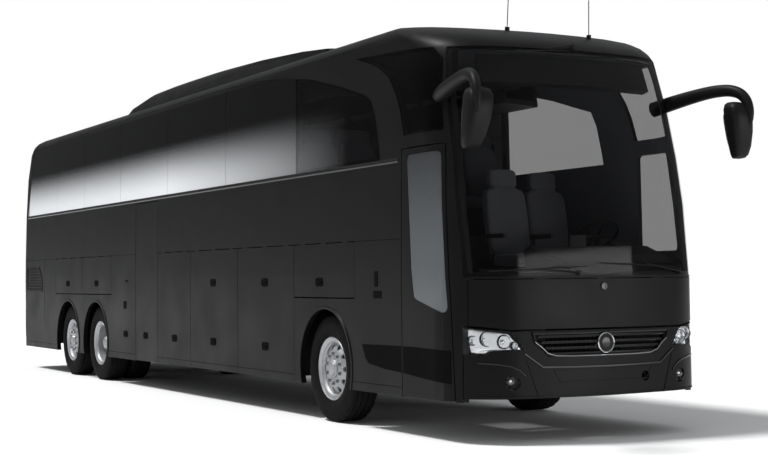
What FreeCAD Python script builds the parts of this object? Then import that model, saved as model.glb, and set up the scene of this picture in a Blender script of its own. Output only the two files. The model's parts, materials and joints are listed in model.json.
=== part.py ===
"""Three-axle high-deck touring coach, built as separate named pieces.

X runs across the coach with +X on the driver's left, Y runs rearwards and Z up.
Every piece is drawn with Y = 0 at the foremost point of the front panel, and
moved at export so that the origin is on the ground, under the middle.
"""
import FreeCAD, Part
import math
import os

from FreeCAD import Vector

# Overall sizes
BODY_LENGTH = 14030.0
BODY_HALF = 1275.0
SKIRT_Z = 345.0
BELT_Z = 1400.0
CANT_Z = 3440.0
TUMBLEHOME = 30.0
ROOF_EDGE_R = 155.0
ROOF_TOP_Z = 3645.0
ROOF_SEAM_X = 1088.0
WALL = 50.0
GAP = 8.0
SCREEN_FOOT_Z = 1372.0
SCREEN_TOP_Z = 3318.0

# Front face: height and setback of the nose behind its foremost point
NOSE_BOW_R = 4500.0
NOSE_CORNER_R = 600.0
NOSE_LEVELS = [
    (245, 0), (SCREEN_FOOT_Z, 10), (2000, 58), (2420, 136), (2860, 250), (SCREEN_TOP_Z, 430),
    (3385, 495), (3440, 585), (3495, 720), (3545, 910), (3595, 1200), (3660, 1900),
]
# Rear face: height and distance ahead of the rearmost point
TAIL_BOW_R = 9000.0
TAIL_CORNER_R = 170.0
TAIL_LEVELS = [
    (245, 40), (620, 5), (BELT_Z, 1), (1700, 0), (2420, 25), (3000, 115), (3380, 300), (3470, 440),
    (3540, 640), (3595, 980), (3660, 1800),
]
SIDE_MARGIN = 1.5
NOSE_ZONE_END = 2600.0
TAIL_ZONE_START = 1100.0

# Wheels and axles
TYRE_R = 510.0
TYRE_WIDTH = 296.0
RIM_FLANGE_R = 298.0
WHEEL_OUTER_X = 1225.0
TWIN_SPACING = 335.0
FRONT_AXLE_Y = 2725.0
DRIVE_AXLE_Y = 10050.0
TAG_AXLE_Y = 11400.0
ARCH_R = 560.0
ARCH_TOP_LIFT = 20.0
KINGPIN_X = 960.0
KINGPIN_R = 32.0
HUB_R = 90.0
HUB_PLAY = 0.3

# Side panels
FLAP_TOP_Z = 1711.0
ARCH_FLAP_Z = 1180.0
SKIRT_SEAM_Z = 424.0
GLASS_Z = 2414.0
DOOR_REAR_Y = 1205.0
FRONT_BAY_Y = (2100.0, 3431.0)
LUGGAGE_Y = (3431.0, 4897.0, 6340.0, 7482.0)
MID_DOOR_Y = (7482.0, 8330.0)
DRIVE_BAY_Y = (9331.0, 10701.0)
TAG_BAY_Y = (10701.0, 12049.0)
TAIL_SPLIT = [(13800.0, 2420.0), (13420.0, 3440.0)]
MID_DOOR_TOP_Z = 2360.0
GLASS_JOINTS_Y = (3391.0, 5263.0, 7147.0, 8973.0, 10610.0, 11993.0)
GLASS_SET = 2.0
GLASS_T = 8.0
GLASS_RIM = 32.0
PILLAR_W = 90.0
PANE_GAP = 8.0

# Front door and screens
DOOR_TOP_Z = 2490.0
DOOR_FRONT_EDGE = [(400.0, 352.0), (438.0, 1180.0), (540.0, 2490.0)]
DOOR_GAP = 10.0
DOOR_STEP = 14.0
DOOR_LIP_T = 20.0
DOOR_BOTTOM_Z = 352.0
LID_TOP_Z = 1350.0
LID_BOTTOM_Z = 935.0
BUMPER_BOTTOM_Z = 375.0

# Floors
DECK_Z = 1760.0
DECK_T = 40.0
CAB_FLOOR_Z = 1080.0
BAY_FLOOR_Z = 440.0
FLOOR_T = 30.0

# Door arms
ARM_REACH = 470.0
ARM_INSET = 90.0
ARM_POST_INSET = 175.0
ARM_POST_R = 20.0
ARM_NECK = 220.0
DOOR_OPEN_OUT = 320.0

# Flats that round forms are made in
WHEEL_FLATS = 24
ARCH_FLATS = 28
BOW_FLATS = 3
CORNER_FLATS = 6
ROOF_EDGE_FLATS = 4
ROOF_BOW_FLATS = 4
ROUND_FLATS = 12
CUT_CORNER_FLATS = 3


def vec(x, y, z):
    """Return a vector."""
    return Vector(float(x), float(y), float(z))


def box(x0, x1, y0, y1, z0, z1):
    """Return a box between two corners."""
    return Part.makeBox(x1 - x0, y1 - y0, z1 - z0, vec(x0, y0, z0))


def polygon_face(points):
    """Return the flat face inside a closed polygon of vectors."""
    return Part.Face(Part.makePolygon(list(points) + [points[0]]))


def prism_x(points, x0, x1):
    """Extrude a polygon of (y, z) points along X."""
    face = polygon_face([vec(x0, y, z) for y, z in points])
    return face.extrude(vec(x1 - x0, 0, 0))


def prism_y(points, y0, y1):
    """Extrude a polygon of (x, z) points along Y."""
    face = polygon_face([vec(x, y0, z) for x, z in points])
    return face.extrude(vec(0, y1 - y0, 0))


def prism_z(points, z0, z1):
    """Extrude a polygon of (x, y) points along Z."""
    face = polygon_face([vec(x, y, z0) for x, y in points])
    return face.extrude(vec(0, 0, z1 - z0))


def arc_points(start, middle, end, count):
    """Return the points that split an arc into equal flats, both ends included."""
    return Part.Arc(start, middle, end).toShape().discretize(count + 1)


def flat_sided(rows):
    """Return the solid through a stack of equal outlines, each a list of vectors."""
    faces = [polygon_face(rows[0]), polygon_face(rows[-1])]
    for low, high in zip(rows, rows[1:]):
        for i in range(len(low)):
            j = (i + 1) % len(low)
            faces.append(polygon_face([low[i], low[j], high[j], high[i]]))
    return closed_solid(faces)


def closed_solid(faces):
    """Return the solid that a set of faces closes, turned the right way out."""
    solid = Part.makeSolid(Part.makeShell(faces))
    if solid.Volume < 0:
        solid.reverse()
    return solid


def rounded_outline(corners):
    """Return a closed list of vectors through (point, radius) corners, cut in flats."""
    count = len(corners)
    points = []
    for i in range(count):
        here, radius = corners[i]
        if radius <= 0:
            points.append(here)
            continue
        to_before = (corners[i - 1][0] - here).normalize()
        to_after = (corners[(i + 1) % count][0] - here).normalize()
        half_turn = to_before.getAngle(to_after) / 2
        cut = radius / math.tan(half_turn)
        bisector = (to_before + to_after).normalize()
        middle = here + bisector * (radius / math.sin(half_turn) - radius)
        points += arc_points(here + to_before * cut, middle, here + to_after * cut,
                             CUT_CORNER_FLATS)
    return points


def rounded_prism_x(points, radius, x0, x1):
    """Extrude a rounded polygon of (y, z) points along X."""
    face = polygon_face(rounded_outline([(vec(x0, y, z), radius) for y, z in points]))
    return face.extrude(vec(x1 - x0, 0, 0))


def rounded_prism_y(points, radius, y0, y1):
    """Extrude a rounded polygon of (x, z) points along Y."""
    face = polygon_face(rounded_outline([(vec(x, y0, z), radius) for x, z in points]))
    return face.extrude(vec(0, y1 - y0, 0))


def circle_points(radius, flats):
    """Return the corners of a regular polygon whose flats lie at a radius."""
    corner = radius / math.cos(math.pi / flats)
    angles = [math.pi * (2 * i + 1) / flats - math.pi / 2 for i in range(flats)]
    return [(corner * math.cos(a), corner * math.sin(a)) for a in angles]


def bar_x(radius, x0, x1, y, z, flats=ROUND_FLATS):
    """Return a round bar along X, in flats."""
    return prism_x([(y + a, z + b) for a, b in circle_points(radius, flats)], x0, x1)


def bar_y(radius, y0, y1, x, z, flats=ROUND_FLATS):
    """Return a round bar along Y, in flats."""
    return prism_y([(x + a, z + b) for a, b in circle_points(radius, flats)], y0, y1)


def bar_z(radius, z0, z1, x, y, flats=ROUND_FLATS):
    """Return a round bar along Z, in flats."""
    return prism_z([(x + a, y + b) for a, b in circle_points(radius, flats)], z0, z1)


def bar_between(radius, start, end, flats=ROUND_FLATS):
    """Return a round bar between two vectors, in flats."""
    run = end - start
    bar = bar_z(radius, 0, run.Length, 0, 0, flats)
    turn = FreeCAD.Rotation(vec(0, 0, 1), run)
    bar.Placement = FreeCAD.Placement(start, turn)
    return bar


def cylinder_y(radius, y0, y1, x, z):
    """Return a true cylinder along Y."""
    return Part.makeCylinder(radius, y1 - y0, vec(x, y0, z), vec(0, 1, 0))


def cylinder_z(radius, z0, z1, x, y):
    """Return a true cylinder along Z."""
    return Part.makeCylinder(radius, z1 - z0, vec(x, y, z0), vec(0, 0, 1))


def turned_x(profile, flats):
    """Turn a closed (x, radius) outline about the X axis, in flats."""
    faces = []
    count = len(profile)
    ring = circle_points(1.0, flats)
    for i in range(count):
        x0, r0 = profile[i]
        x1, r1 = profile[(i + 1) % count]
        if r0 <= 0 and r1 <= 0:
            continue
        if x0 == x1 and min(r0, r1) <= 0:
            faces.append(polygon_face([vec(x0, max(r0, r1) * a, max(r0, r1) * b)
                                       for a, b in ring]))
            continue
        for j in range(flats):
            a0, b0 = ring[j]
            a1, b1 = ring[(j + 1) % flats]
            faces.append(polygon_face([vec(x0, r0 * a0, r0 * b0), vec(x0, r0 * a1, r0 * b1),
                                       vec(x1, r1 * a1, r1 * b1), vec(x1, r1 * a0, r1 * b0)]))
    return closed_solid(faces).removeSplitter()


def fused(shapes):
    """Fuse shapes into one and drop the seams between coplanar faces."""
    first = shapes[0]
    if len(shapes) == 1:
        return first
    return first.multiFuse(shapes[1:]).removeSplitter()


def mirrored(shape):
    """Return the copy of a shape on the other side of the coach."""
    return shape.mirror(vec(0, 0, 0), vec(1, 0, 0))


def both_sides(shapes):
    """Return the shapes together with their mirror copies."""
    return list(shapes) + [mirrored(s) for s in shapes]


def solids_of(shapes):
    """Return one compound of every solid in the given shapes."""
    found = []
    for shape in shapes:
        found.extend(shape.Solids)
    return Part.makeCompound(found)


def half_width(z):
    """Return the half width of the body at a height."""
    if z <= BELT_Z:
        return BODY_HALF
    share = (min(z, CANT_Z) - BELT_Z) / (CANT_Z - BELT_Z)
    return BODY_HALF - TUMBLEHOME * share


def section_solid(inset, y0, y1):
    """Extrude the body's cross-section, inset all round, between two stations."""
    low = SKIRT_Z - 100
    cant = half_width(CANT_Z) - inset
    edge_r = ROOF_EDGE_R - inset
    centre_x = half_width(CANT_Z) - ROOF_EDGE_R
    lean = math.radians(5.0)
    edge_end = vec(centre_x + edge_r * math.sin(lean), y0, CANT_Z + edge_r * math.cos(lean))
    edge_mid = vec(centre_x + edge_r * math.cos(math.radians(42)), y0,
                   CANT_Z + edge_r * math.sin(math.radians(42)))
    top = ROOF_TOP_Z - inset
    low_r = vec(BODY_HALF - inset, y0, low)
    belt_r = vec(BODY_HALF - inset, y0, BELT_Z)
    cant_r = vec(cant, y0, CANT_Z)
    corner = arc_points(cant_r, edge_mid, edge_end, ROOF_EDGE_FLATS)
    bow = arc_points(edge_end, vec(0, y0, top), vec(-edge_end.x, y0, edge_end.z), ROOF_BOW_FLATS)
    right = [low_r, belt_r] + corner
    left = [vec(-p.x, p.y, p.z) for p in reversed(right)]
    return polygon_face(right + bow[1:-1] + left).extrude(vec(0, y1 - y0, 0))


def inset_levels(levels, inset):
    """Return the (height, setback) profile moved inwards by an inset along its normals."""
    moved = []
    for i, (z, back) in enumerate(levels):
        z0, back0 = levels[max(0, i - 1)]
        z1, back1 = levels[min(len(levels) - 1, i + 1)]
        run = math.hypot(z1 - z0, back1 - back0)
        moved.append((z - inset * (back1 - back0) / run, back + inset * (z1 - z0) / run))
    moved[0] = (levels[0][0], moved[0][1])
    return moved


def end_half(levels, length, corner_r, bow_r, inset, inward, end_y):
    """Return the left half of one rounded end of the body.

    levels gives the profile of its middle, inward is +1 for the nose and -1 for the
    tail, and end_y is the station where the solid is closed off straight.
    """
    rows = []
    for z, back in inset_levels(levels, inset):
        tip = length + inward * back
        half = half_width(z) + SIDE_MARGIN - inset
        small = corner_r - inset
        big = bow_r - inset
        small_x = BODY_HALF + SIDE_MARGIN - inset - small
        reach = math.sqrt((big - small) ** 2 - small_x ** 2)
        scale = big / (big - small)
        slide = half - small - small_x
        join = vec(small_x * scale + slide, tip + inward * (big - reach * scale), z)
        centre = vec(small_x + slide, tip + inward * (big - reach), z)
        side = vec(half, centre.y, z)
        toward = ((join - centre).normalize() + vec(1, 0, 0)).normalize()
        past = -160.0
        start = vec(past + slide, tip + inward * (big - math.sqrt(big ** 2 - past ** 2)), z)
        far = vec(half, end_y, z)
        close = vec(past + slide, end_y, z)
        bow = arc_points(start, vec(slide, tip, z), join, BOW_FLATS)
        corner = arc_points(join, centre + toward * small, side, CORNER_FLATS)
        rows.append(bow + corner[1:] + [far, close])
    loft = flat_sided(rows)
    return loft.common(box(0, 2 * BODY_HALF, -200, BODY_LENGTH + 200, 0, 4000))


def nose_solid(inset):
    """Return the rounded front of the body, inset all round."""
    half = end_half(NOSE_LEVELS, 0.0, NOSE_CORNER_R, NOSE_BOW_R, inset, 1, NOSE_ZONE_END)
    whole = half.fuse(mirrored(half)).removeSplitter()
    return whole.common(section_solid(inset, -100, NOSE_ZONE_END))


def tail_solid(inset):
    """Return the body behind the nose with its rounded tail, inset all round."""
    half = end_half(TAIL_LEVELS, BODY_LENGTH, TAIL_CORNER_R, TAIL_BOW_R, inset, -1,
                    TAIL_ZONE_START)
    whole = half.fuse(mirrored(half)).removeSplitter()
    return whole.common(section_solid(inset, TAIL_ZONE_START, BODY_LENGTH + 100))


# Outlines seen from the side, as (station, height)
SHOULDER = [(1205, 2640), (1262, 2800), (1345, 2950), (1470, 3110), (1700, 3235), (2230, 3400)]
SCREEN_EDGE = [(345, 1372), (424, 2000), (486, 2420), (594, 2850), (690, 3318)]


def outline_face(points, x):
    """Return the flat face at X inside a closed outline of (y, z) points."""
    return polygon_face([vec(x, y, z) for y, z in points])


def front_zone(x0, x1):
    """Return the zone ahead of the shoulder line, where the front shell lies."""
    top = ROOF_TOP_Z + 200
    first = SHOULDER[0]
    last = SHOULDER[-1]
    face = outline_face([(-200, SKIRT_Z), (first[0], SKIRT_Z)] + SHOULDER
                        + [(last[0], top), (-200, top)], x0)
    return face.extrude(vec(x1 - x0, 0, 0))


def screen_zone(inset):
    """Return the zone of the windscreen, shrunk by an inset."""
    edge = [(y - inset, z) for y, z in SCREEN_EDGE]
    edge[0] = (edge[0][0], SCREEN_FOOT_Z + inset)
    edge[-1] = (edge[-1][0], SCREEN_TOP_Z - inset)
    zone = outline_face([(-200, SCREEN_FOOT_Z + inset)] + edge
                        + [(-200, SCREEN_TOP_Z - inset)], -BODY_HALF - 100)
    return zone.extrude(vec(2 * BODY_HALF + 200, 0, 0))


def quarter_outline(inset, x):
    """Return the face of the glass above the door at X, shrunk by an inset."""
    drop = 45 + inset
    lower = [(y - 0.72 * drop, z + 0.7 * drop) for y, z in SHOULDER[1:]]
    lower.insert(0, (SHOULDER[0][0] - drop, 2600 + inset))
    lower[-1] = (2080 - 8.1 * inset, 3392 - 1.4 * inset)
    return outline_face([(575 + inset, 2600 + inset)] + lower
                        + [(790 + inset, 3325 - inset), (690 + inset, 3215 - inset)], x)


def quarter_zone(inset, side):
    """Return the zone of one quarter glass, side being -1 for the door side."""
    reach = BODY_HALF + 100
    return quarter_outline(inset, min(0, side * reach)).extrude(vec(reach, 0, 0))


DRIVER_WINDOW = [(470, 1560), (1130, 1560), (1130, 2520), (600, 2520)]
DOOR_GLASS = [(470, 1060), (985, 1190), (1030, 1440), (1110, 2430), (585, 2430)]


def shrunk(points, inset):
    """Move the corners of a (y, z) outline towards its middle by an inset."""
    mid_y = sum(p[0] for p in points) / len(points)
    mid_z = sum(p[1] for p in points) / len(points)
    moved = []
    for y, z in points:
        moved.append((y + math.copysign(inset, mid_y - y), z + math.copysign(inset, mid_z - z)))
    return moved


def door_zone(gap, foot):
    """Return the zone of the front door leaf, kept clear of its frame by a gap."""
    top = DOOR_TOP_Z - gap
    low, waist, head = DOOR_FRONT_EDGE
    lean = (waist[0] - low[0]) / (waist[1] - low[1])
    outline = [(low[0] + gap + lean * (foot - low[1]), foot), (DOOR_REAR_Y - gap, foot),
               (DOOR_REAR_Y - gap, top), (head[0] + gap, top), (waist[0] + gap, waist[1])]
    return prism_x(outline, -BODY_HALF - 100, -400)


def lamp_outline(grow):
    """Return the front view of the right headlamp as (x, z) corners."""
    return [(-1300, 962 + grow), (-1090, 945 + grow), (-860 + grow, 915 + grow),
            (-745 + grow, 765 - grow), (-1010, 765 - grow), (-1060, 722 - grow),
            (-1300, 760 - grow)]


LAMP_REAR_Y = 338.0
LID_REAR_Y = 300.0
LID_LIP_T = 12.0
LID_LIP_TOP_Z = 1040.0
LAMP_PLAY = 0.3
HINGE_PLAY = 0.3
HINGE_W = 120.0
HINGE_T = 12.0
GRILLE_TOP_Z = 905.0
GRILLE_BOTTOM_Z = 712.0
GRILLE_HALF = 690.0
GRILLE_BOTTOM_HALF = 560.0
GRILLE_T = 14.0
BOSS_Z = 815.0
BOSS_R = 88.0
CENTRE_TOP_HALF = 745.0
CENTRE_FOOT_HALF = 640.0
FOG_X = 851.0
FOG_Z = 500.0
FOG_R = 55.0
TOW_X = 430.0
TOW_Z = 520.0
TOW_BORE_R = 22.0
TOW_TUBE_R = 36.0
TOW_LENGTH = 90.0


def lid_outline(grow):
    """Return the front view of the lid as (x, z) corners."""
    right = [(-1300, 968 + GAP - grow), (-1090, 953 + GAP - grow), (-860, 925 + GAP - grow),
             (-780, LID_BOTTOM_Z - grow)]
    left = [(-x, z) for x, z in reversed(right)]
    return right + left + [(1300, LID_TOP_Z + grow), (-1300, LID_TOP_Z + grow)]


def grille_outline(grow):
    """Return the front view of the grille opening as (x, z) corners."""
    return [(-GRILLE_BOTTOM_HALF - grow, GRILLE_BOTTOM_Z - grow),
            (GRILLE_BOTTOM_HALF + grow, GRILLE_BOTTOM_Z - grow),
            (GRILLE_HALF + grow, GRILLE_TOP_Z + grow),
            (-GRILLE_HALF - grow, GRILLE_TOP_Z + grow)]


def build_front(parts):
    """Add the front shell, screen, door, lid, bumper, grille and lamps."""
    outer = nose_solid(0)
    skin = nose_solid(GLASS_SET)
    rebate = nose_solid(GLASS_SET + GLASS_T)
    inner = nose_solid(WALL)
    zone = front_zone(-BODY_HALF - 100, BODY_HALF + 100)
    nose_shell = outer.cut(inner).common(zone)
    glass_shell = skin.cut(rebate)
    rebate_shell = outer.cut(rebate)

    corner_y = LAMP_REAR_Y + GAP
    lid_tool = prism_y(lid_outline(GAP / 2), -200, LID_REAR_Y + GAP)
    lid_zone = prism_y(lid_outline(-GAP / 2), -200, LID_REAR_Y)
    low_zone = prism_y([(-1300, 200), (1300, 200), (1300, 975), (-1300, 975)], -200, corner_y)
    screens = screen_zone(0)
    aperture = screen_zone(GLASS_RIM)
    quarters = [quarter_zone(0, -1), quarter_zone(0, 1)]
    quarter_holes = [quarter_zone(GLASS_RIM, -1), quarter_zone(GLASS_RIM, 1)]
    driver = rounded_prism_x(DRIVER_WINDOW, 60, 400, BODY_HALF + 100)
    driver_hole = rounded_prism_x(shrunk(DRIVER_WINDOW, GLASS_RIM), 40, 400, BODY_HALF + 100)

    shell = nose_shell.cut(fused([lid_tool, low_zone]))
    for seat_zone in [screens, driver] + quarters:
        shell = shell.cut(rebate_shell.common(seat_zone))
    shell = shell.cut(Part.makeCompound([aperture, driver_hole, door_zone(0, 200)] + quarter_holes))
    hinges = [box(x - HINGE_W / 2, x + HINGE_W / 2, 0, 400, LID_TOP_Z - GAP / 2 + HINGE_PLAY,
                  LID_TOP_Z + GAP / 2) for x in (-600, 0, 600)]
    blocks = nose_solid(6).cut(nose_solid(6 + 2 * HINGE_T)).common(Part.makeCompound(hinges))
    parts["front_shell"] = shell.fuse(blocks.Solids).removeSplitter()

    clear = PANE_GAP / 2
    parts["windscreen"] = glass_shell.common(screen_zone(clear))
    panes = [glass_shell.common(quarter_zone(clear, -1)),
             glass_shell.common(quarter_zone(clear, 1)),
             glass_shell.common(rounded_prism_x(shrunk(DRIVER_WINDOW, clear), 56, 400,
                                                BODY_HALF + 100))]
    parts["fixed_windows"] = solids_of(panes)

    door_glass = rounded_prism_x(DOOR_GLASS, 50, -BODY_HALF - 100, -400)
    door_hole = rounded_prism_x(shrunk(DOOR_GLASS, GLASS_RIM), 40, -BODY_HALF - 100, -400)
    leaf = nose_shell.common(door_zone(DOOR_GAP, DOOR_BOTTOM_Z))
    leaf = leaf.cut(nose_solid(DOOR_LIP_T).cut(door_zone(DOOR_GAP + DOOR_STEP, 200)))
    leaf = leaf.cut(rebate_shell.common(door_glass)).cut(door_hole)
    crossbar = nose_shell.common(box(-BODY_HALF, -400, 400, DOOR_REAR_Y, 1425, 1495))
    crossbar = crossbar.common(door_hole).common(rebate)
    parts["front_door_leaf"] = leaf.fuse(crossbar).removeSplitter()
    parts["front_door_glass"] = glass_shell.common(
        rounded_prism_x(shrunk(DOOR_GLASS, clear), 46, -BODY_HALF - 100, -400))

    lip_room = box(-1300, 1300, -200, 400, 900, LID_LIP_TOP_Z)
    lid = nose_shell.common(lid_zone)
    parts["front_lid"] = lid.cut(nose_solid(LID_LIP_T).common(lip_room))

    low = nose_shell.common(prism_y([(-1300, BUMPER_BOTTOM_Z), (1300, BUMPER_BOTTOM_Z),
                                     (1300, 975 - GAP), (-1300, 975 - GAP)], -200, corner_y - GAP))
    low = low.cut(prism_y(lid_outline(GAP / 2 + GAP), -200, corner_y))
    lamp_hole = prism_y(lamp_outline(LAMP_PLAY), -200, corner_y)
    grille_hole = rounded_prism_y(grille_outline(0), 30, -200, 400)
    fog_hole = bar_y(FOG_R + LAMP_PLAY, -200, 400, -FOG_X, FOG_Z)
    tow_hole = bar_y(TOW_TUBE_R + 6, -200, 400, TOW_X, TOW_Z)
    low = low.cut(Part.makeCompound(both_sides([lamp_hole, fog_hole]) + [grille_hole, tow_hole]))
    parts["front_bumper"] = low

    lamp_shell = outer.cut(inner)
    lamps = [lamp_shell.common(prism_y(lamp_outline(0), -200, LAMP_REAR_Y))]
    lamps.append(lamp_shell.common(bar_y(FOG_R, -200, 400, -FOG_X, FOG_Z)))
    parts["headlamps"] = solids_of(both_sides(lamps))

    frame_shell = outer.cut(nose_solid(30))
    bars = []
    bar_pitch = (GRILLE_TOP_Z - GRILLE_BOTTOM_Z) / 4
    for i in range(4):
        low_z = GRILLE_BOTTOM_Z + bar_pitch * i + 8
        bars.append(box(-GRILLE_HALF, GRILLE_HALF, -100, 300, low_z, low_z + GRILLE_T))
    bars.append(prism_y([(-30, GRILLE_BOTTOM_Z), (30, GRILLE_BOTTOM_Z), (30, GRILLE_TOP_Z),
                         (-30, GRILLE_TOP_Z)], -100, 300))
    slats = frame_shell.common(fused(bars)).common(rounded_prism_y(grille_outline(0), 30, -200, 400))
    boss = bar_y(BOSS_R, -14, 40, 0, BOSS_Z, 24)
    parts["grille"] = fused([slats, boss])
    return nose_shell


def band_face(inset, x):
    """Return the face of the long side window band at X, shrunk by an inset."""
    low = GLASS_Z + inset
    front = [(1590 + inset, low), (1625 + inset, 2600), (1690 + inset, 2830), (1775 + inset, 2975),
             (1900 + inset, 3040 - inset)]
    top = [(1900 + inset, 3040 - inset), (2455, 3188 - inset), (3084, 3329 - inset),
           (3721, 3414 - inset), (4500, 3472 - inset), (5400, 3488 - inset)]
    rear_top = (13370 - inset, 3438 - inset)
    rear_low = (13690 - inset, low)
    return outline_face(front + top[1:] + [(9400, 3490 - inset), rear_top, rear_low], x)


def side_slab(face_maker, side):
    """Extrude an outline over the depth of one side wall."""
    reach = 300
    x0 = BODY_HALF + 100 - reach if side > 0 else -BODY_HALF - 100
    return face_maker(x0).extrude(vec(reach, 0, 0))


def side_box(side, y0, y1, z0, z1, depth=300):
    """Return a box over the depth of one side wall."""
    if side > 0:
        return box(BODY_HALF + 100 - depth, BODY_HALF + 100, y0, y1, z0, z1)
    return box(-BODY_HALF - 100, -BODY_HALF - 100 + depth, y0, y1, z0, z1)


def arch_hole(side, y):
    """Return the cutter of one wheel arch."""
    x0 = 500 if side > 0 else -BODY_HALF - 100
    return bar_x(ARCH_R, x0, x0 + BODY_HALF - 400, y, TYRE_R + ARCH_TOP_LIFT, ARCH_FLATS)


def tail_zone():
    """Return the zone of the rear shell, behind the ends of the side walls."""
    split = TAIL_SPLIT
    outline = [(split[0][0], 0), split[0], split[1], (split[1][0], 4000),
               (BODY_LENGTH + 300, 4000), (BODY_LENGTH + 300, 0)]
    return prism_x(outline, -BODY_HALF - 100, BODY_HALF + 100)


def flap_bays(side):
    """Return the name and (y0, y1, z0, z1) of each side flap."""
    word = "right" if side < 0 else "left"
    bays = [("service_flap_front_" + word, FRONT_BAY_Y[0], FRONT_BAY_Y[1], ARCH_FLAP_Z)]
    edges = LUGGAGE_Y if side < 0 else LUGGAGE_Y[:3] + (MID_DOOR_Y[1],)
    for i in range(3):
        bays.append(("luggage_flap_%d_%s" % (i + 1, word), edges[i], edges[i + 1], DOOR_BOTTOM_Z))
    bays.append(("service_flap_drive_" + word, DRIVE_BAY_Y[0], DRIVE_BAY_Y[1], ARCH_FLAP_Z))
    bays.append(("service_flap_tag_" + word, TAG_BAY_Y[0], TAG_BAY_Y[1], ARCH_FLAP_Z))
    return bays


SERVICE_FOOT_GAP = 12.0


def hinge_block(side, y):
    """Return one hinge block between a side flap's top edge and the wall above it."""
    edge = half_width(FLAP_TOP_Z - GAP)
    block = box(edge - 2 * HINGE_T, edge - 2, y - HINGE_W / 2, y + HINGE_W / 2,
                FLAP_TOP_Z - GAP + HINGE_PLAY, FLAP_TOP_Z)
    return block if side > 0 else mirrored(block)


def build_sides(parts):
    """Add the side walls, their flaps, the side panes, the mid door, roof and tail."""
    outer = tail_solid(0)
    skin = tail_solid(GLASS_SET)
    rebate = tail_solid(GLASS_SET + GLASS_T)
    inner = tail_solid(WALL)
    zone = front_zone(-BODY_HALF - 100, BODY_HALF + 100)
    shell = outer.cut(inner).cut(zone)
    glass_shell = skin.cut(rebate)
    rebate_shell = outer.cut(rebate)
    tail = tail_zone()
    below = box(-2000, 2000, 0, BODY_LENGTH + 300, 0, SKIRT_Z)
    shell = shell.cut(below)
    middle = shell.cut(tail)
    panes = []
    for side in (-1, 1):
        word = "right" if side < 0 else "left"
        half = box(-2000, -ROOF_SEAM_X, 0, 15000, 0, 4000)
        if side > 0:
            half = mirrored(half)
        wall = middle.common(half)
        band = side_slab(lambda x: band_face(0, x), side)
        holes = side_slab(lambda x: band_face(GLASS_RIM, x), side)
        for y in GLASS_JOINTS_Y:
            holes = holes.cut(side_box(side, y - PILLAR_W / 2, y + PILLAR_W / 2, 2000, 3600))
        wall = wall.cut(rebate_shell.common(band)).cut(holes)
        cutters = [arch_hole(side, y) for y in (FRONT_AXLE_Y, DRIVE_AXLE_Y, TAG_AXLE_Y)]
        hinges = []
        for name, y0, y1, z0 in flap_bays(side):
            cutters.append(side_box(side, y0, y1, z0 - 200 if z0 == DOOR_BOTTOM_Z else z0, FLAP_TOP_Z))
            hinges += [hinge_block(side, y) for y in (y0 + 200, (y0 + y1) / 2, y1 - 200)]
        if side < 0:
            cutters.append(side_box(side, MID_DOOR_Y[0], MID_DOOR_Y[1], 0, MID_DOOR_TOP_Z))
        wall = wall.cut(fused(cutters))
        parts[word + "_side_wall"] = fused([wall] + hinges)
        pane = glass_shell.common(side_slab(lambda x: band_face(PANE_GAP / 2, x), side))
        for y in GLASS_JOINTS_Y:
            pane = pane.cut(side_box(side, y - PANE_GAP / 2, y + PANE_GAP / 2, 2000, 3600))
        panes.append(pane)
        for name, y0, y1, z0 in flap_bays(side):
            g = GAP / 2
            foot = g if z0 == DOOR_BOTTOM_Z else SERVICE_FOOT_GAP
            parts[name] = middle.common(side_box(side, y0 + g, y1 - g, z0 + foot, FLAP_TOP_Z - GAP))
    g = GAP / 2
    edge = MID_DOOR_Y[1] - DOOR_GAP
    leaf = outer.cut(inner).common(side_box(-1, MID_DOOR_Y[0] + g, edge, DOOR_BOTTOM_Z,
                                            MID_DOOR_TOP_Z - GAP))
    step = tail_solid(DOOR_LIP_T).common(side_box(-1, edge - DOOR_STEP, edge, 0, MID_DOOR_TOP_Z))
    parts["mid_door_leaf"] = leaf.cut(step)

    parts["roof"] = middle.common(box(-ROOF_SEAM_X, ROOF_SEAM_X, 0, 15000, 3000, 4000))

    rear = shell.common(tail)
    slope = [(11900, SKIRT_Z), (12630, 368), (13880, 496), (14300, 560), (14300, 0), (11900, 0)]
    rear = rear.cut(prism_x(slope, -2000, 2000))
    window = rounded_prism_y(REAR_WINDOW, 90, 13000, 14300)
    hole = rounded_prism_y(shrunk(REAR_WINDOW, GLASS_RIM), 70, 13000, 14300)
    lid_hole = rounded_prism_y(ENGINE_LID, 40, 13700, 14300)
    lid_zone = rounded_prism_y(shrunk(ENGINE_LID, GAP), 40, 13700, 14300)
    lamp = prism_y(TAIL_LAMP, 13700, 14300)
    lamp_gap = prism_y([(x + math.copysign(LAMP_PLAY, x + 1180),
                         z + math.copysign(LAMP_PLAY, z - 1300))
                        for x, z in TAIL_LAMP], 13700, 14300)
    tow_hole = bar_y(TOW_TUBE_R + 6, 13700, 14300, -TOW_X, TOW_Z + 60)
    rear_solid = rear.cut(rebate_shell.common(window)).cut(hole)
    rear_solid = rear_solid.cut(fused([lid_hole] + both_sides([lamp_gap]) + [tow_hole]))
    lid_top = ENGINE_LID[2][1] - GAP
    hinges = [box(x - HINGE_W / 2, x + HINGE_W / 2, 13700, 14300, lid_top + HINGE_PLAY,
                  lid_top + GAP) for x in (-600, 0, 600)]
    blocks = tail_solid(6).cut(tail_solid(6 + 2 * HINGE_T)).common(Part.makeCompound(hinges))
    parts["rear_shell"] = rear_solid.fuse(blocks.Solids).removeSplitter()
    parts["engine_lid"] = rear.common(lid_zone)
    parts["tail_lamps"] = solids_of(both_sides([rear.common(lamp)]))
    panes.append(glass_shell.common(rounded_prism_y(shrunk(REAR_WINDOW, PANE_GAP / 2), 86,
                                                    13000, 14300)))
    parts["fixed_windows"] = solids_of([parts["fixed_windows"]] + panes)
    return outer


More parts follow.
